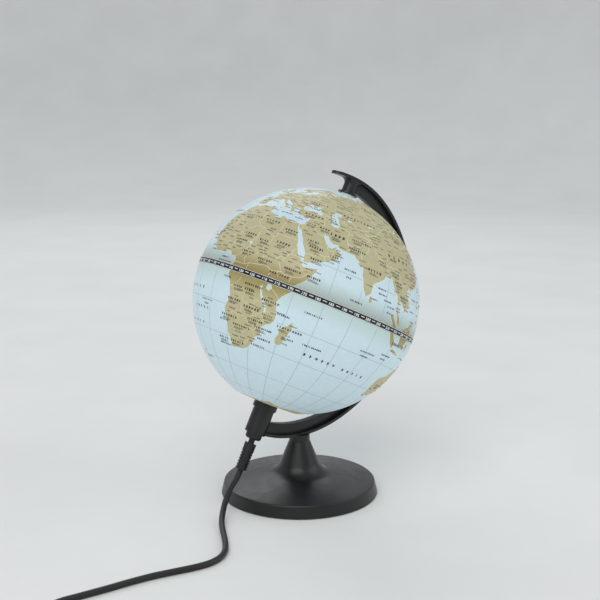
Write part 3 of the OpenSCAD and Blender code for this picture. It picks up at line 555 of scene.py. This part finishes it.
LAKES = {
    "black_sea": """
28.1,42 27.8,43.2 28.7,44.2 29.7,45.3 31,46.6 32.6,46.1 32.6,45.4 33.6,44.4 35.4,45 36.5,45.3 35.2,46.2
38.8,47 37.8,46 37.2,45 39.5,43.6 41.6,42 40.5,41 37.5,41 35,42 31.5,41.2 29,41.2""",
    "caspian": """
47,45 49.5,46.6 53,46.8 53,45.2 51.2,44.5 50.5,44 52.6,42 52.8,40.5 53.8,39 53.9,37 51,36.7 49,37.6
49.4,40.2 48,42 47.4,43.2""",
    "aral": "58.4,45.8 61,46.6 61,44 58.5,43.8",
    "balkhash": "73.6,45.8 75.6,46.7 79,46.7 75.4,46.2 74,45.2",
    "baikal": "103.8,51.7 108,53.4 109.6,55.6 109.4,54.2 106.4,52.2",
    "ladoga": "30.4,60.2 30.2,61.4 32.6,60.8 32.2,60",
    "onega": "34.4,61.8 35.2,62.6 36.2,61.2 35.2,61",
    "victoria_lake": "32,0.4 33.8,0.4 34.4,-0.8 33.4,-2.4 31.8,-1.8",
    "rift_lakes": """
28.8,-1.4 29.8,-1.4 30.6,-4.6 31.9,-6.6 34.6,-9 35.2,-12.4 34.4,-12.6 33.8,-9.6 31.1,-7 29.8,-4.8""",
    "chad": "13.2,13.8 14.4,14 14.4,12.8 13.4,12.6",
    "superior": "-92,46.8 -88,48.8 -84.8,47.8 -85,46.6 -88,46.8",
    "michigan": "-87.8,42 -87.8,44.6 -85.4,46 -86.4,43.8 -86.6,42",
    "huron": "-84,46.2 -80,45.2 -81.8,43.4 -83.4,44.2",
    "erie": "-83.2,41.8 -79,42.9 -81,42 -82.6,41.4",
    "winnipeg": "-98.6,53.6 -96.8,50.6 -97.8,51.4",
    "great_bear": "-124,66 -118,66.6 -121,65",
    "great_slave": "-116,61.2 -109.6,62.6 -112,61.4",
}
BORDERS = """
-2.2,35.1 -1.2,32.3 -3.6,31 -5.5,29.7 -8.7,28.7 -8.7,27.4| -8.7,27.3 -8.7,26 -12,26 -12,23.4 -13,23
-13,21.3 -17,21.1| -8.7,27.3 -4.8,25 1.2,21.2 3.2,19.8 4.2,19.1 6,19.5 12,23.5| 9.5,30.3 11.5,32.5
11.5,33.1| 25,22 31,22 37,22| 8.3,37 8.2,34.5 9.2,32.2 9.5,30.3 9.9,26.5 9.4,25.5 11.5,24.3 12,23.5
14.2,22.6 15,23 24,19.5 24,20 25,20 25,31.6| 24,19.5 24,15.7 22.5,14 22,12.6 22.9,11 24,8.7 27.4,5| 15,23
15.5,16.8 13.5,14| 13.5,13.7 9,12.8 4,13.5 3.6,11.7 2.7,9 2.7,6.4| 8.6,4.8 11.5,6.6 13.6,11 14.5,12.8|
4.2,19.1 3.5,15.4 0.2,15 -3,14 -5.5,11 -8,10.2 -11.4,12.2 -12.2,14.7 -5.5,15.5 -6.5,25| 14.5,12.8 15.5,7.5
14.6,5 16.2,2.2 13.3,2.2 9.8,2.3| 15.5,7.5 18.6,8 22.5,11| 16.2,2.2 18.6,3.5 22.5,4.1 27.4,5 30.8,3.6|
18.6,3.5 17.8,-0.5 16,-3.5 14.5,-5 12.3,-6| 12.3,-6 16.6,-6 17,-8 21.8,-7.3 21.8,-11 24,-11 24,-13 22,-13
22,-16.2 23.4,-17.6 18.4,-17.4 14,-17.4 11.8,-17.3| 21,-18 21,-22 20,-22 20,-24.8 20,-28.4 17,-28.8
16.5,-28.6| 23.4,-17.6 25.3,-17.8| 20,-24.8 22.6,-26.2 25.6,-25.6 27,-23.7 29.4,-22.2 27.7,-20.5 25.3,-17.8
27,-17.9 28.9,-15.9 30.4,-15.6 32.9,-16.7| 32.9,-16.7 32.7,-19.7 32.4,-21.3 31.3,-22.4 29.4,-22.2|
31.3,-22.4 32,-24.5 32.1,-26.8 32.9,-26.9| 27,-29.6 28.6,-28.7 29.4,-29.5 28,-30.6 27,-29.6| 24,-11
25.4,-11.4 28.4,-12.4 29.8,-13.4 28.4,-10.5 28.7,-8.5 30.8,-8.3| 30.8,-8.3 33,-9.4 33.3,-12.5 32.7,-13.7
30.3,-14.9 30.4,-15.6| 32.7,-13.7 34.4,-14.6 35.3,-17| 34.6,-11.5 37.5,-11.7 40.4,-10.5| 30.8,3.6 31,2.4
29.6,-0.5 29.3,-3.3| 34,-1 37.6,-3 39.2,-4.6| 34,-1 33.9,0.2 35,1.8 34,4.2| 30.8,3.6 34,4.2 36,4.4 38.1,3.6
41,4 42,4.2 41,2.8 41,-0.9 41.6,-1.7| 42,4.2 45,5 48,8 44,9 42.7,10.6 43.2,11.5| 34,4.2 35.9,4.6 33,8
34.2,10.6 36.3,14.3 37.6,14.2 40.8,14.4 42.4,12.5| 24,8.7 27,9.6 31,9.8 33,12 34.2,10.6| 36.3,14.3 37,17
38.6,18| -7.5,4.4 -8.5,7.5 -10.5,8.4 -11.5,7| -3,5.1 -2.7,9.5 -2.8,11 0,11| 1.2,6.1 0.2,11| 1.7,6.2 1.3,9.5
0.9,11| -16.5,16 -12.2,14.7| 36,36 38,36.8 42.4,37.2 44.8,37.2 44.4,39.7 41.5,41.5| 42.4,37.2 41.2,34.5
38.8,33.4 36,32.7 35.6,33| 35.6,33.2 35.5,31 35,29.5| 35,29.4 37.5,30 37,31.5 39.2,32.2 42,31.1 44.7,29.2
46.5,29.1 47.6,28.5| 46.5,29.1 48,30| 44.8,37.2 45.5,35.9 46,33 47.8,31 48.5,30| 42.8,16.4 44,17.4 47,17
49,18.6 52,19 53.1,16.7| 52,19 55,20 55.7,22 55.2,22.7 52.6,22.9 51.6,24.2| 55.2,22.7 56,24.2 56.3,24.9|
53.9,37.3 57,38.2 61.2,36.6 60.6,34 61,31.4 61.8,29.8 63.2,27.2 61.6,25.2| 61.2,35.4 64.5,36.9 67,37.3
70.5,37.9 73,37.4 74.8,37.2| 74.8,37 71.2,34.4 69.5,31.8 66.4,29.8 61,29.8| 68.2,23.7 71,24.5 70,27.8
73.8,29.9 74.5,32 74,34 77.8,35.5| 74.8,37.2 77.8,35.5 79,32.4 81.2,30 86,28 89,27.6 92,27.8 97,28.3
98.6,25 99.5,22.5 101.8,21.2 104.5,22.7 106.8,22 108,21.6| 80.2,28.8 83.5,27.4 88.1,26.5 88.1,27.9| 88.8,22
88.2,24.5 89,26 92,25 92.2,22.6| 92.3,20.9 93.2,23.5 94.6,25.5 97.2,28.2| 101.1,21.5 98,19.5 98.6,16.5
99.2,13 98.8,10.3| 101.1,21.5 101.2,18 103.5,18.3 105.2,15.8 105,14.4 102.5,13.6 102.9,11.7| 102.2,22.4
104.6,20 105.6,18.4 107.5,15.5 107.5,12.4 105,10.6| 100.4,6.5 102,6.2| 49.2,46.5 47,48.5 47.6,50.3 52,51.6
59,50.8 61.5,51.6 61,54 69,55.3 76.5,54.3 80,50.9 87.3,49.2| 87.3,49.2 85.5,47 82.5,45.4 80.2,42.2 74,43
68,41.3 62,43.6 58.6,45.6 56,45 56,41.4 53,42| 56,41.4 60,41.4 66.5,37.4| 74,43 71,42.2 69,40.8 73.5,39.5
74.8,37.4| 80.2,42.2 74,40 73.6,39.4| 87.3,49.2 92,50.8 98.3,50.6 98.5,52 102.2,50.6 107,49.6 116.7,49.8
119.8,46.8 111.8,45 105,41.6 96.3,42.8 90.9,45.3 87.3,49.2| 116.7,49.8 120,53 125.6,53 130.6,48 135,48.4
131,43 130.7,42.3| 130.7,42.4 128,42 124.4,40| 41.5,41.5 46.5,41.8 48.5,41.8| 39.9,43.4 43.5,42.7
46.5,41.8| 44.8,39.7 46.5,38.9 48.9,38.4| -1.8,43.4 3.1,42.4| -7.4,37.2 -7,39 -6.8,41.6 -8.7,41.9| 7.5,43.8
7,45.9 6,46.4 7.6,47.6 8.2,49 6,49.6 2.6,51.1| 7,45.9 10.4,46.6 13.7,46.5 13.8,45.6| 7.6,47.6 13,47.6
13.8,48.8 12.3,50.2 14.8,50.9 14.2,53.9| 14.8,50.9 18.8,49.5 22.6,49.1 23.6,52 23.5,54 19.6,54.4| 13.8,48.8
17,48.6 17.1,48 16.2,46.8 13.7,46.5| 17.1,48 22.2,48.3 20.4,46.1 16.4,46.4| 22.2,48.3 26.6,48.3 28.2,45.5
29.6,45.3| 20.4,46.1 22.5,44 28.5,43.7| 13.6,45.5 19,45 19,43.5 22.8,42.4 22.5,44| 19.4,41.9 21,40.8
26.3,41.7 26.1,40.8| 23.6,52 31.8,52.1 34.4,51.7 40.1,49.6 38.3,47.2| 23.5,54 26.6,55.7 31,55 31.8,52.1|
26.6,55.7 28,57 27.6,59.4| 27.8,60.5 31.5,62.8 29.8,66 28.5,68.9 31,69.8| 11.2,59 12.5,61.5 14.4,65 18,68.4
24,68.8| 24.1,65.9 23.6,67.9| -123,49 -95,49 -89,48 -83,46 -82.5,42.5 -79,43 -75,45 -71,45.3 -69,47.4
-67.2,45.2| -141,69.7 -141,60.3 -130.5,55.5| -117.2,32.5 -111,31.3 -106.5,31.8 -101.5,29.8 -97.2,25.9|
-92,14.6 -90.4,16.2 -88.9,17.8| -85.7,11.1 -83.7,10.9| -51.6,4.3 -54.5,2.3 -59.8,4.8 -64,2 -67.5,1 -70,-4.2
-73.5,-8 -70.5,-11 -65.3,-10 -60,-16 -57.8,-20 -54.3,-24| -54.3,-24 -53.8,-27 -57.6,-30.2 -53.4,-33.7|
-67,1.2 -67.5,6.2 -72,7.5 -71.4,11.9| -80.2,-3.5 -78,-3.2 -75.3,-0.2| -75.3,-0.2 -70,-4.2| -78.8,1.4
-75.3,-0.2| -70.4,-18.3 -69.4,-16 -69.5,-11| -69.5,-17.8 -67.5,-23 -69.8,-30 -70.5,-36 -72,-43 -72.4,-51
-68.5,-52.4| -67.5,-22.8 -62.5,-22.2 -57.8,-25.2 -54.6,-25.6| 109.6,1.8 114,1.2 117.8,4.1| 141,-2.6
141,-9.1
"""


def pairs(text):
    """'lon,lat lon,lat ...' as a list of (lon, lat)."""
    return [tuple(float(x) for x in pair.split(",")) for pair in text.split()]


def shown_latitude(lat, side):
    """The printed map sits a little high on the north shell and a little low on the south one."""
    return NORTH_SHIFT + NORTH_SCALE * lat if side > 0 else lat - SOUTH_SHIFT


def true_latitude(shown):
    return (shown - NORTH_SHIFT) / NORTH_SCALE if shown > 0 else shown + SOUTH_SHIFT


def on_globe(lon, lat_shown, radius=GLOBE_R):
    lat, turn = math.radians(lat_shown), math.radians(lon - MAP_TURN)
    out = math.cos(lat) * (math.cos(turn) * EAST + math.sin(turn) * NORTH_Y) + math.sin(lat) * AXIS
    return GLOBE + radius * out


def dense(points, step, closed=False):
    """The same line with more points, so that it bends with the globe. It takes the shorter way round."""
    ends = [*points, points[0]] if closed else points
    line = []
    for (x0, y0), (x1, y1) in zip(ends, ends[1:]):
        turn = (x1 - x0 + 180) % 360 - 180
        flat = math.cos(math.radians((y0 + y1) / 2))
        parts = max(1, math.ceil(math.hypot(turn * flat, y1 - y0) / step))
        line += [(x0 + turn * i / parts, y0 + (y1 - y0) * i / parts) for i in range(parts)]
    return line if closed else [*line, ends[-1]]


def inside(point, outline):
    """Whether a point of the map is inside an outline."""
    x, y = point
    hit = False
    for (x0, y0), (x1, y1) in zip(outline, outline[1:] + outline[:1]):
        if (y0 > y) != (y1 > y) and x < x0 + (y - y0) * (x1 - x0) / (y1 - y0):
            hit = not hit
    return hit


OUTLINES = {name: pairs(text) for name, text in LAND.items()}
WATERS = {name: pairs(text) for name, text in LAKES.items()}


def is_land(lon, lat):
    if any(inside((lon, lat), w) for w in WATERS.values()):
        return False
    if lat < -76:
        return True
    return any(inside((x, lat), o) for o in OUTLINES.values() for x in (lon, lon + 360))


SKIN_STEP = 2.5


def polar(away, angle):
    return Vector((away * math.cos(angle), away * math.sin(angle)))


def ring(away, count):
    return [polar(away, math.tau * i / count) for i in range(count)]


def make_shell(name, side, node):
    """One printed shell, laid out flat round its pole, with an inner surface and a rim.

    The triangles follow the coasts, so that land and sea are set apart by geometry.
    """
    def flat(lon, lat):
        return polar(90 - side * shown_latitude(lat, side), math.radians(lon))

    points, faces, kinds = [], [], []

    def outline(line, kind):
        start = len(points)
        area = sum(a.x * b.y - a.y * b.x for a, b in zip(line, line[1:] + line[:1]))
        if area < 0:
            line = line[::-1]
        points.extend(line)
        faces.append(list(range(start, start + len(line))))
        kinds.append(kind)

    hole = 90 - math.degrees(math.asin(SOUTH_CUT / GLOBE_R)) if side < 0 else 0
    outline(ring(90, 144), "rim")
    if hole:
        outline(ring(hole, 72), "hole")
    for kind, group in (("land", OUTLINES), ("water", WATERS)):
        for line in group.values():
            if max(side * lat for _, lat in line) > -4:
                outline([flat(*p) for p in dense(line, SKIN_STEP, closed=True)], kind)
    away = SKIN_STEP
    while away < 90 - SKIN_STEP / 3:
        if away > hole + SKIN_STEP / 3:
            count = max(6, round(360 * math.sin(math.radians(away)) / SKIN_STEP))
            points.extend(ring(away + 0.01, count))
        away += SKIN_STEP
    if not hole:
        points.append(Vector((0.0, 0.0)))
    verts2, _, tris, _, _, sources = delaunay_2d_cdt(points, [], faces, 0, 1e-4)
    rows, indices = [], []
    for tri, source in zip(tris, sources):
        found = {kinds[i] for i in source}
        if "rim" not in found or "hole" in found:
            continue
        rows.append(tuple(tri))
        indices.append(1 if "land" in found and "water" not in found else 0)
    used = sorted({i for row in rows for i in row})
    place = {old: new for new, old in enumerate(used)}
    outer, inner = [], []
    for i in used:
        x, y = verts2[i]
        lat = side * (90 - math.hypot(x, y))
        lon = math.degrees(math.atan2(y, x))
        outer.append(on_globe(lon, lat))
        inner.append(on_globe(lon, lat, GLOBE_R - SHELL_T))
    n = len(used)
    skin = []
    for row in rows:
        a, b, c = (place[i] for i in row)
        if (outer[b] - outer[a]).cross(outer[c] - outer[a]).dot(outer[a] - GLOBE) < 0:
            b, c = c, b
        skin.append((a, b, c))
    edges = {(a, b) for tri in skin for a, b in zip(tri, tri[1:] + tri[:1])}
    rim = [(b, a, a + n, b + n) for a, b in edges if (b, a) not in edges]
    back = [(c + n, b + n, a + n) for a, b, c in skin]
    shell = new_mesh(name, outer + inner, skin + back + rim, [SEA, SOIL, WHITE],
                     indices + [2] * (len(back) + len(rim)))
    normals = [v - GLOBE for v in outer] + [GLOBE - v for v in inner]
    shell.data.normals_split_custom_set_from_vertices([v.normalized() for v in normals])
    for k, poly in enumerate(shell.data.polygons):
        if k >= len(skin) + len(back):
            poly.use_smooth = False
    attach(shell, "globe")
    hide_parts(node)


SEA = printed("sea_print", srgb(0.715, 0.79, 0.82), srgb(0.56, 0.61, 0.585), srgb(0.65, 0.72, 0.71), 0.06)
SOIL = printed("land_print", srgb(0.665, 0.648, 0.51), srgb(0.5, 0.44, 0.25), srgb(0.53, 0.48, 0.29), 0.12,
               blotch=srgb(0.66, 0.61, 0.51))
GRID_INK = ink("grid_ink", srgb(0.56, 0.63, 0.66))
COAST_INK = ink("coast_ink", srgb(0.78, 0.82, 0.8))
BORDER_INK = ink("border_ink", srgb(0.78, 0.76, 0.66))
LABEL_INK = ink("label_ink", srgb(0.1, 0.09, 0.08), 0.1)
SMALL_INK = ink("small_label_ink", srgb(0.34, 0.33, 0.28), 0.2)
BAND_BLACK = ink("band_black", srgb(0.015, 0.015, 0.015), 0.0)
# painted light: the white print on the dark, unlit band glows a little
GLOWING_BAND_WHITE = ink("band_white", srgb(0.82, 0.84, 0.84), 0.4)


def add_strip(verts, faces, rows):
    """Adds a thin closed plate, with rows of two points on its outer face and the same two on its inner."""
    start = len(verts)
    end = start + 4 * (len(rows) - 1)
    for row in rows:
        verts.extend(row)
    for b in range(start, end, 4):
        for k, m in ((0, 1), (1, 3), (3, 2), (2, 0)):
            faces.append((b + k, b + 4 + k, b + 4 + m, b + m))
    faces.append((start, start + 1, start + 3, start + 2))
    faces.append((end, end + 2, end + 3, end + 1))


BAND_CLEAR = 1.6  # printed lines stop at this latitude beside the band, in degrees
CUT_LATITUDE = -73  # and here above the south cut
GRID_WIDTH = 0.36 * MM
COAST_WIDTH = 0.3 * MM


class Print:
    """Thin closed plates of ink that lie on the globe."""

    LIFT = 0.03 * MM

    def __init__(self, name, material, slot):
        self.name, self.material, self.slot = name, material, slot
        self.verts, self.faces = [], []

    def strip(self, left, right):
        """A band between two rows of points given as directions from the globe's centre."""
        radii = GLOBE_R + self.LIFT, GLOBE_R - self.LIFT
        rows = [[GLOBE + way * r for r in radii for way in ways] for ways in zip(left, right)]
        add_strip(self.verts, self.faces, rows)

    def line(self, places, width):
        """A ribbon along (lon, shown latitude) places."""
        ways = [(on_globe(*p) - GLOBE).normalized() for p in places]
        left, right = [], []
        for i, here in enumerate(ways):
            ahead = ways[min(i + 1, len(ways) - 1)] - ways[max(i - 1, 0)]
            across = here.cross(ahead).normalized() * (width / 2 / GLOBE_R)
            left.append((here + across).normalized())
            right.append((here - across).normalized())
        self.strip(left, right)

    def block(self, lon, lat, x0, x1, y0, y1):
        """An upright rectangle of ink near a place, with x to the east and y to the north, in metres."""
        here = (on_globe(lon, lat) - GLOBE).normalized()
        east = AXIS.cross(here).normalized()
        north = here.cross(east)
        def corner(x, y):
            return (here + (east * x + north * y) / GLOBE_R).normalized()
        self.strip([corner(x0, y1), corner(x1, y1)], [corner(x0, y0), corner(x1, y0)])

    def make(self):
        obj = new_mesh(self.name, self.verts, self.faces, [self.material], smooth=False)
        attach(obj, "globe")
        return obj


def runs_where(points, keep):
    """The stretches of a line whose points all pass a test."""
    runs, run = [], []
    for point in points:
        if keep(point):
            run.append(point)
        else:
            runs.append(run)
            run = []
    return [r for r in (*runs, run) if len(r) > 1]


def sides_of(points):
    """Pieces of a map line on each shell, clear of the band and the south cut, as (lon, shown latitude)."""
    runs = []
    for side in (1, -1):
        shown = [(lon, shown_latitude(lat, side)) for lon, lat in points]
        runs += runs_where(shown, lambda place: side * place[1] > BAND_CLEAR and place[1] >= CUT_LATITUDE)
    return runs


def make_grid():
    grid = Print("map_grid", GRID_INK, "map_south")

    def at_sea(place):
        return not is_land((place[0] + 180) % 360 - 180, true_latitude(place[1]))

    def draw(points):
        for run in sides_of(points):
            for sea in runs_where(run, at_sea):
                grid.line(sea, GRID_WIDTH)

    for lon in range(-180, 180, 15):
        draw([(lon, -75 + 1.5 * i) for i in range(106)])
    for lat in range(-60, 76, 15):
        if lat:
            draw([(-180 + 2 * i, lat) for i in range(181)])
    grid.make()


def make_coasts_and_borders():
    coasts = Print("map_coasts", COAST_INK, "map_north")
    for line in [*OUTLINES.values(), *WATERS.values()]:
        points = dense(line, 2.0, closed=True)
        for run in sides_of([*points, points[0]]):
            coasts.line(run, COAST_WIDTH)
    coasts.make()
    borders = Print("map_borders", BORDER_INK, "map_north")
    for text in BORDERS.split("|"):
        for run in sides_of(dense(pairs(text), 2.0)):
            borders.line(run, GRID_WIDTH)
    borders.make()


LABELS = """
75.6,21.7,5,2.6,2.9 89,34,5,3,6.6 50.9,32,4,2.7,3.4 27,17.9,5,2.3,2.6 54.7,47.3,10,2.1,3.1 36.3,7,8,2,1.85
30.5,2.9,8,1.9,2.2 -3.8,28.1,7,1.9,3.1 13.2,28,5,1.9,3 6.9,17.7,5,2,2.7 17.6,16.4,4,1.9,2.4
27.3,25.8,5,1.9,2.5 41,24.2,5,1.9,2.1 43.1,21.4,6,2.2,2.15 42.8,-16.3,10,2,2.2 31.5,-7,8,2,2
13,-11.6,6,2.1,2.4 23.2,-12.8,6,2.2,2.6 10.5,-19.8,7,2,2.5 18.7,-22.8,8,2,2.2 8.9,-31.5,5,1.9,2.3
18,-31.3,6,1.9,2.3 26.8,-17.8,8,1.9,1.8 31.6,-20.4,10,1.7,1.6 14.4,-5.2,5,1.8,1.9 20.6,-2.6,9,1.9,2
21.4,-5.2,5,1.9,2 33.9,-13.6,6,1.5,1.6 46,15.8,5,2,2 54.6,20.4,4,1.8,1.9 3.4,13.4,7,1.8,1.9 22,7.2,7,1.8,2
11.2,8.6,8,1.7,1.8 46.8,40.4,4,1.5,1.6 35.4,33.4,5,1.5,1.8 43.8,33.4,4,1.9,2.4 31.4,39.2,6,2,2.9
28,49.2,7,1.7,2.4 63.4,33.6,11,1.7,1.7 62.6,28.4,8,1.9,2 81.4,28.2,5,1.6,1.7 90.6,25.4,7,1.6,1.6
94.6,21.4,5,1.8,2 100,15.4,8,1.7,1.7 84,63,2,2.2,3.2 96,60,2,2.2,3.2 108,56,2,2.2,3.2 70.6,62,2,2.2,3.2
97,46.6,8,1.9,2.6 47.7,7,7,1.9,1.7 119,-26,9,2.1,3.2 -112,39.5,6,2,3.6 -112,56,6,2,4.2 -106,24,6,1.8,2.3
-62,-10,6,2.3,3.6 -68,-35,9,1.8,2.4
"""
SEA_LABELS = """
63.3,17,7,1.6,1.55 65.3,13.5,3,1.6,1.5 83.6,14.8,6 84.6,12.4,6 70.5,4.1,8 52.8,-5.7,10,1.6,1.55
41,-10.9,7,1.6,1.6 57.6,-20.3,11,1.6,1.55 86.7,-12.6,12,1.5,1.45 88,-14.8,6,1.5,1.45 101,-10.4,10,1.5,1.45
102,-12.6,5,1.5,1.45 -8.5,-16,9,1.5,2 -5.7,-17.9,4,1.5,1.8 6.5,-2.4,6 -0.4,2.9,7,1.3,1.4 -2.3,1,12,1.3,1.5
-17,-20,5,2.4,6 -26,-27.6,5,2.4,7.1 -27,-10.6,5,2.4,7.6 -17,-43,3 -16.6,-46,8,1.5,1.6 -13.2,5.4,6,1.4,1.4
-15,7.6,4,1.4,1.6 -18.9,11.2,5,1.4,1.6 -20.6,13.2,6,1.4,1.6 -16.5,15.2,6,1.4,1.6 -1.4,5.6,3,1.4,1.9
104.6,-3.6,9,2.8,2.6 9.4,-34.4,9 9.4,-22.4,6,1.7,1.7 46.6,-20.8,7 34.4,-25.4,7,1.8,1.7 31.6,-29.4,8,1.6,1.6
17.4,35.4,9,1.3,1.3 31.6,44.2,6,1.4,1.4 27.6,34.4,6,1.3,1.3 91.6,8.2,6,1.5,1.6 92.4,5.4,7,1.4,1.5
88.6,10.4,6,1.4,1.5 97.6,9.4,5,1.4,1.5 112,17,7,1.4,1.5 112,11,6,1.4,1.5 115,6.4,6,1.4,1.5
126,16.4,9,1.5,1.6 128,22,9,1.5,1.6 -30,30,8,2,3.2 -160,20,7,2.2,3.8 -150,-20,7,2.2,3.8 -100,-38,7,2.2,3.8
60.2,-24.7,6,2.6,5.45 83.6,-25,5,2.4,5.7
"""
SMALL_ROWS = 1000
USUAL_BARS = 1.5, 1.5  # height and pitch of a row that names none, in mm
# Places with few small labels, as west, east, south and north
QUIET = [
    (-9, 36, 17, 31), (41, 56, 17, 29), (72, 85, 10, 26), (84, 106, 29, 44), (55, 80, 43, 52),
    (60, 180, 53, 80), (113, 150, -32, -16), (-180, -60, 50, 80), (12, 32, -5, 8),
]


def label_entries(text):
    """Rows of 'longitude of the first bar, latitude, bars, height and pitch in mm', set apart by spaces."""
    for entry in text.split():
        lon, lat, count, height, pitch = [*(float(x) for x in entry.split(",")), *USUAL_BARS][:5]
        yield lon, lat, int(count), height, pitch


def mm_per_degree(lat):
    """Length of a degree of longitude on the globe at a latitude, in mm."""
    return math.cos(math.radians(lat)) * math.radians(1) * GLOBE_R / MM


def bar_row(ink_print, rng, lon, lat, count, height, pitch):
    """A row of upright bars from a place eastwards, in mm. Some have a thinner bar beside them."""
    shown = shown_latitude(lat, 1 if lat > 0 else -1)
    for i in range(count):
        tall = height * rng.uniform(0.88, 1.0)
        wide = min(height * rng.choice((0.34, 0.6, 0.66, 0.7)), pitch * 0.74)
        place = lon + i * pitch / mm_per_degree(lat)
        ink_print.block(place, shown, 0, min(wide, 0.36 * height) * MM, -tall / 2 * MM, tall / 2 * MM)
        if wide > 0.5 * height:
            short = tall * rng.choice((0.5, 0.36, 0.2))
            ink_print.block(place, shown, (wide - 0.26 * height) * MM, wide * MM, -short * MM, short * MM)


def make_labels():
    """Map labels as rows of plain bars, with no letters in them."""
    labels = Print("map_labels", LABEL_INK, "map_south")
    small = Print("map_small_labels", SMALL_INK, "map_south")
    rng = random.Random(7)
    taken = []
    for lon, lat, count, height, pitch in label_entries(LABELS):
        bar_row(labels, rng, lon, lat, count, height, pitch)
        for down in (1, 2):
            under = lat - (height * 0.62 + 1.05 * down) / mm_per_degree(0)
            if abs(under) > 4:
                bar_row(small, rng, lon + 1.6 / mm_per_degree(lat), under, rng.randint(7, 10), 1.05, 0.95)
        for k in range(int(count * pitch / 4) + 1):
            along = lon + 4 * k / mm_per_degree(lat)
            taken += [(along, lat), (along, lat - 1.6)]
    for entry in label_entries(SEA_LABELS):
        bar_row(labels, rng, *entry)
    for _ in range(16000):
        if len(taken) >= SMALL_ROWS:
            break
        lon, lat = rng.uniform(-180, 180), math.degrees(math.asin(rng.uniform(-0.62, 0.95)))
        if not is_land(lon, lat) or -5 < lat < 7:
            continue
        quiet = any(west < lon < east and south < lat < north for west, east, south, north in QUIET)
        if quiet and rng.random() < 0.85:
            continue
        squeeze = math.cos(math.radians(lat))
        if any(abs(lat - b) < 1.2 and abs(lon - a) * squeeze < 4.0 for a, b in taken):
            continue
        taken.append((lon, lat))
        bar_row(small, rng, lon, lat, rng.randint(4, 8), 1.1, 0.95)
    labels.make()
    small.make()


BAND_HALF = 2.35 * MM
BAND_OUT = GLOBE_R + 0.42 * MM
BAND_EDGE = 0.3 * MM
BAND_NUMBERS = 54


def make_band_print():
    """White scale on the equator band: edge lines, and numbers in steps of five with a dash between."""
    verts, faces = [], []
    lift = 0.03 * MM

    def plate(a0, a1, z0, z1, steps):
        rows = []
        for i in range(steps + 1):
            a = a0 + (a1 - a0) * i / steps
            out = math.cos(a) * EAST + math.sin(a) * NORTH_Y
            radii = BAND_OUT + lift, BAND_OUT - lift
            rows.append([GLOBE + out * r + AXIS * z for r in radii for z in (z0, z1)])
        add_strip(verts, faces, rows)

    unit = math.tau / BAND_NUMBERS
    for k in range(BAND_NUMBERS):
        for z in (BAND_HALF - 0.03 * MM - BAND_EDGE, -BAND_HALF + 0.03 * MM):
            plate(k * unit, (k + 0.997) * unit, z, z + BAND_EDGE, 4)
        plate((k + 0.45) * unit, (k + 0.76) * unit, -0.05 * MM, 0.5 * MM, 2)
        curve = bpy.data.curves.new("number", "FONT")
        curve.body = str(5 * k)
        curve.size = 2.9 * MM
        curve.space_character = 1.15
        curve.align_x = "CENTER"
        curve.extrude = lift
        curve.offset = 0.1 * MM
        holder = bpy.data.objects.new("number", curve)
        mesh = holder.to_mesh()
        start = len(verts)
        for v in mesh.vertices:
            a = (k + 0.09) * unit + v.co.x / BAND_OUT
            out = math.cos(a) * EAST + math.sin(a) * NORTH_Y
            verts.append(GLOBE + out * (BAND_OUT + v.co.z) + AXIS * (v.co.y - 1.15 * MM))
        faces.extend(tuple(start + i for i in p.vertices) for p in mesh.polygons)
        holder.to_mesh_clear()
        bpy.data.objects.remove(holder)
        bpy.data.curves.remove(curve)
    scale = new_mesh("band_scale", verts, faces, [GLOWING_BAND_WHITE], smooth=False)
    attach(scale, "globe")


make_shell("north_shell", 1, "north_hemisphere")
make_shell("south_shell", -1, "south_hemisphere")
make_grid()
make_coasts_and_borders()
make_labels()
make_band_print()

# --- finishes on the CAD nodes ---


def soften(obj, width):
    """Rounds a moulded or turned part's sharp edges."""
    weld = obj.modifiers.new("weld", "WELD")
    weld.merge_threshold = 0.001 * MM
    bevel = obj.modifiers.new("edges", "BEVEL")
    bevel.width = width
    bevel.segments = 3
    bevel.limit_method = "ANGLE"
    bevel.angle_limit = math.radians(32)
    bevel.harden_normals = True
    obj.modifiers.new("normals", "WEIGHTED_NORMAL").keep_sharp = True


EDGE_WIDTHS = {  # rounding of the sharp edges of a node, in mm
    "meridian_arm": 0.5, "base_cover": 0.4, "lamp_holder_stem": 0.4, "holder_nut": 0.3,
    "strain_relief": 0.25, "switch_lower_case": 0.4, "switch_upper_case": 0.8, "switch_rocker": 0.5,
    "plug_body": 1.4, "plug_relief": 0.25, "coil_tie": 0.5, "north_bush": 0.3, "base_pad": 0.3,
    "base_plate": 0.3, "lamp_cup": 0.3, "plate_screws": 0.2,
}


def dress_nodes():
    slots = {s["node"]: s["material_slot"] for s in frame["record"]["subparts"]}
    special = {"equator_band": BAND_BLACK, "plug_pins": PINS}
    for name, obj in frame["nodes"].items():
        material = special.get(name) or SLOT_MATERIALS.get(slots[name], WHITE)
        obj.data.materials.clear()
        obj.data.materials.append(material)
        if name in EDGE_WIDTHS:
            soften(obj, EDGE_WIDTHS[name] * MM)


dress_nodes()
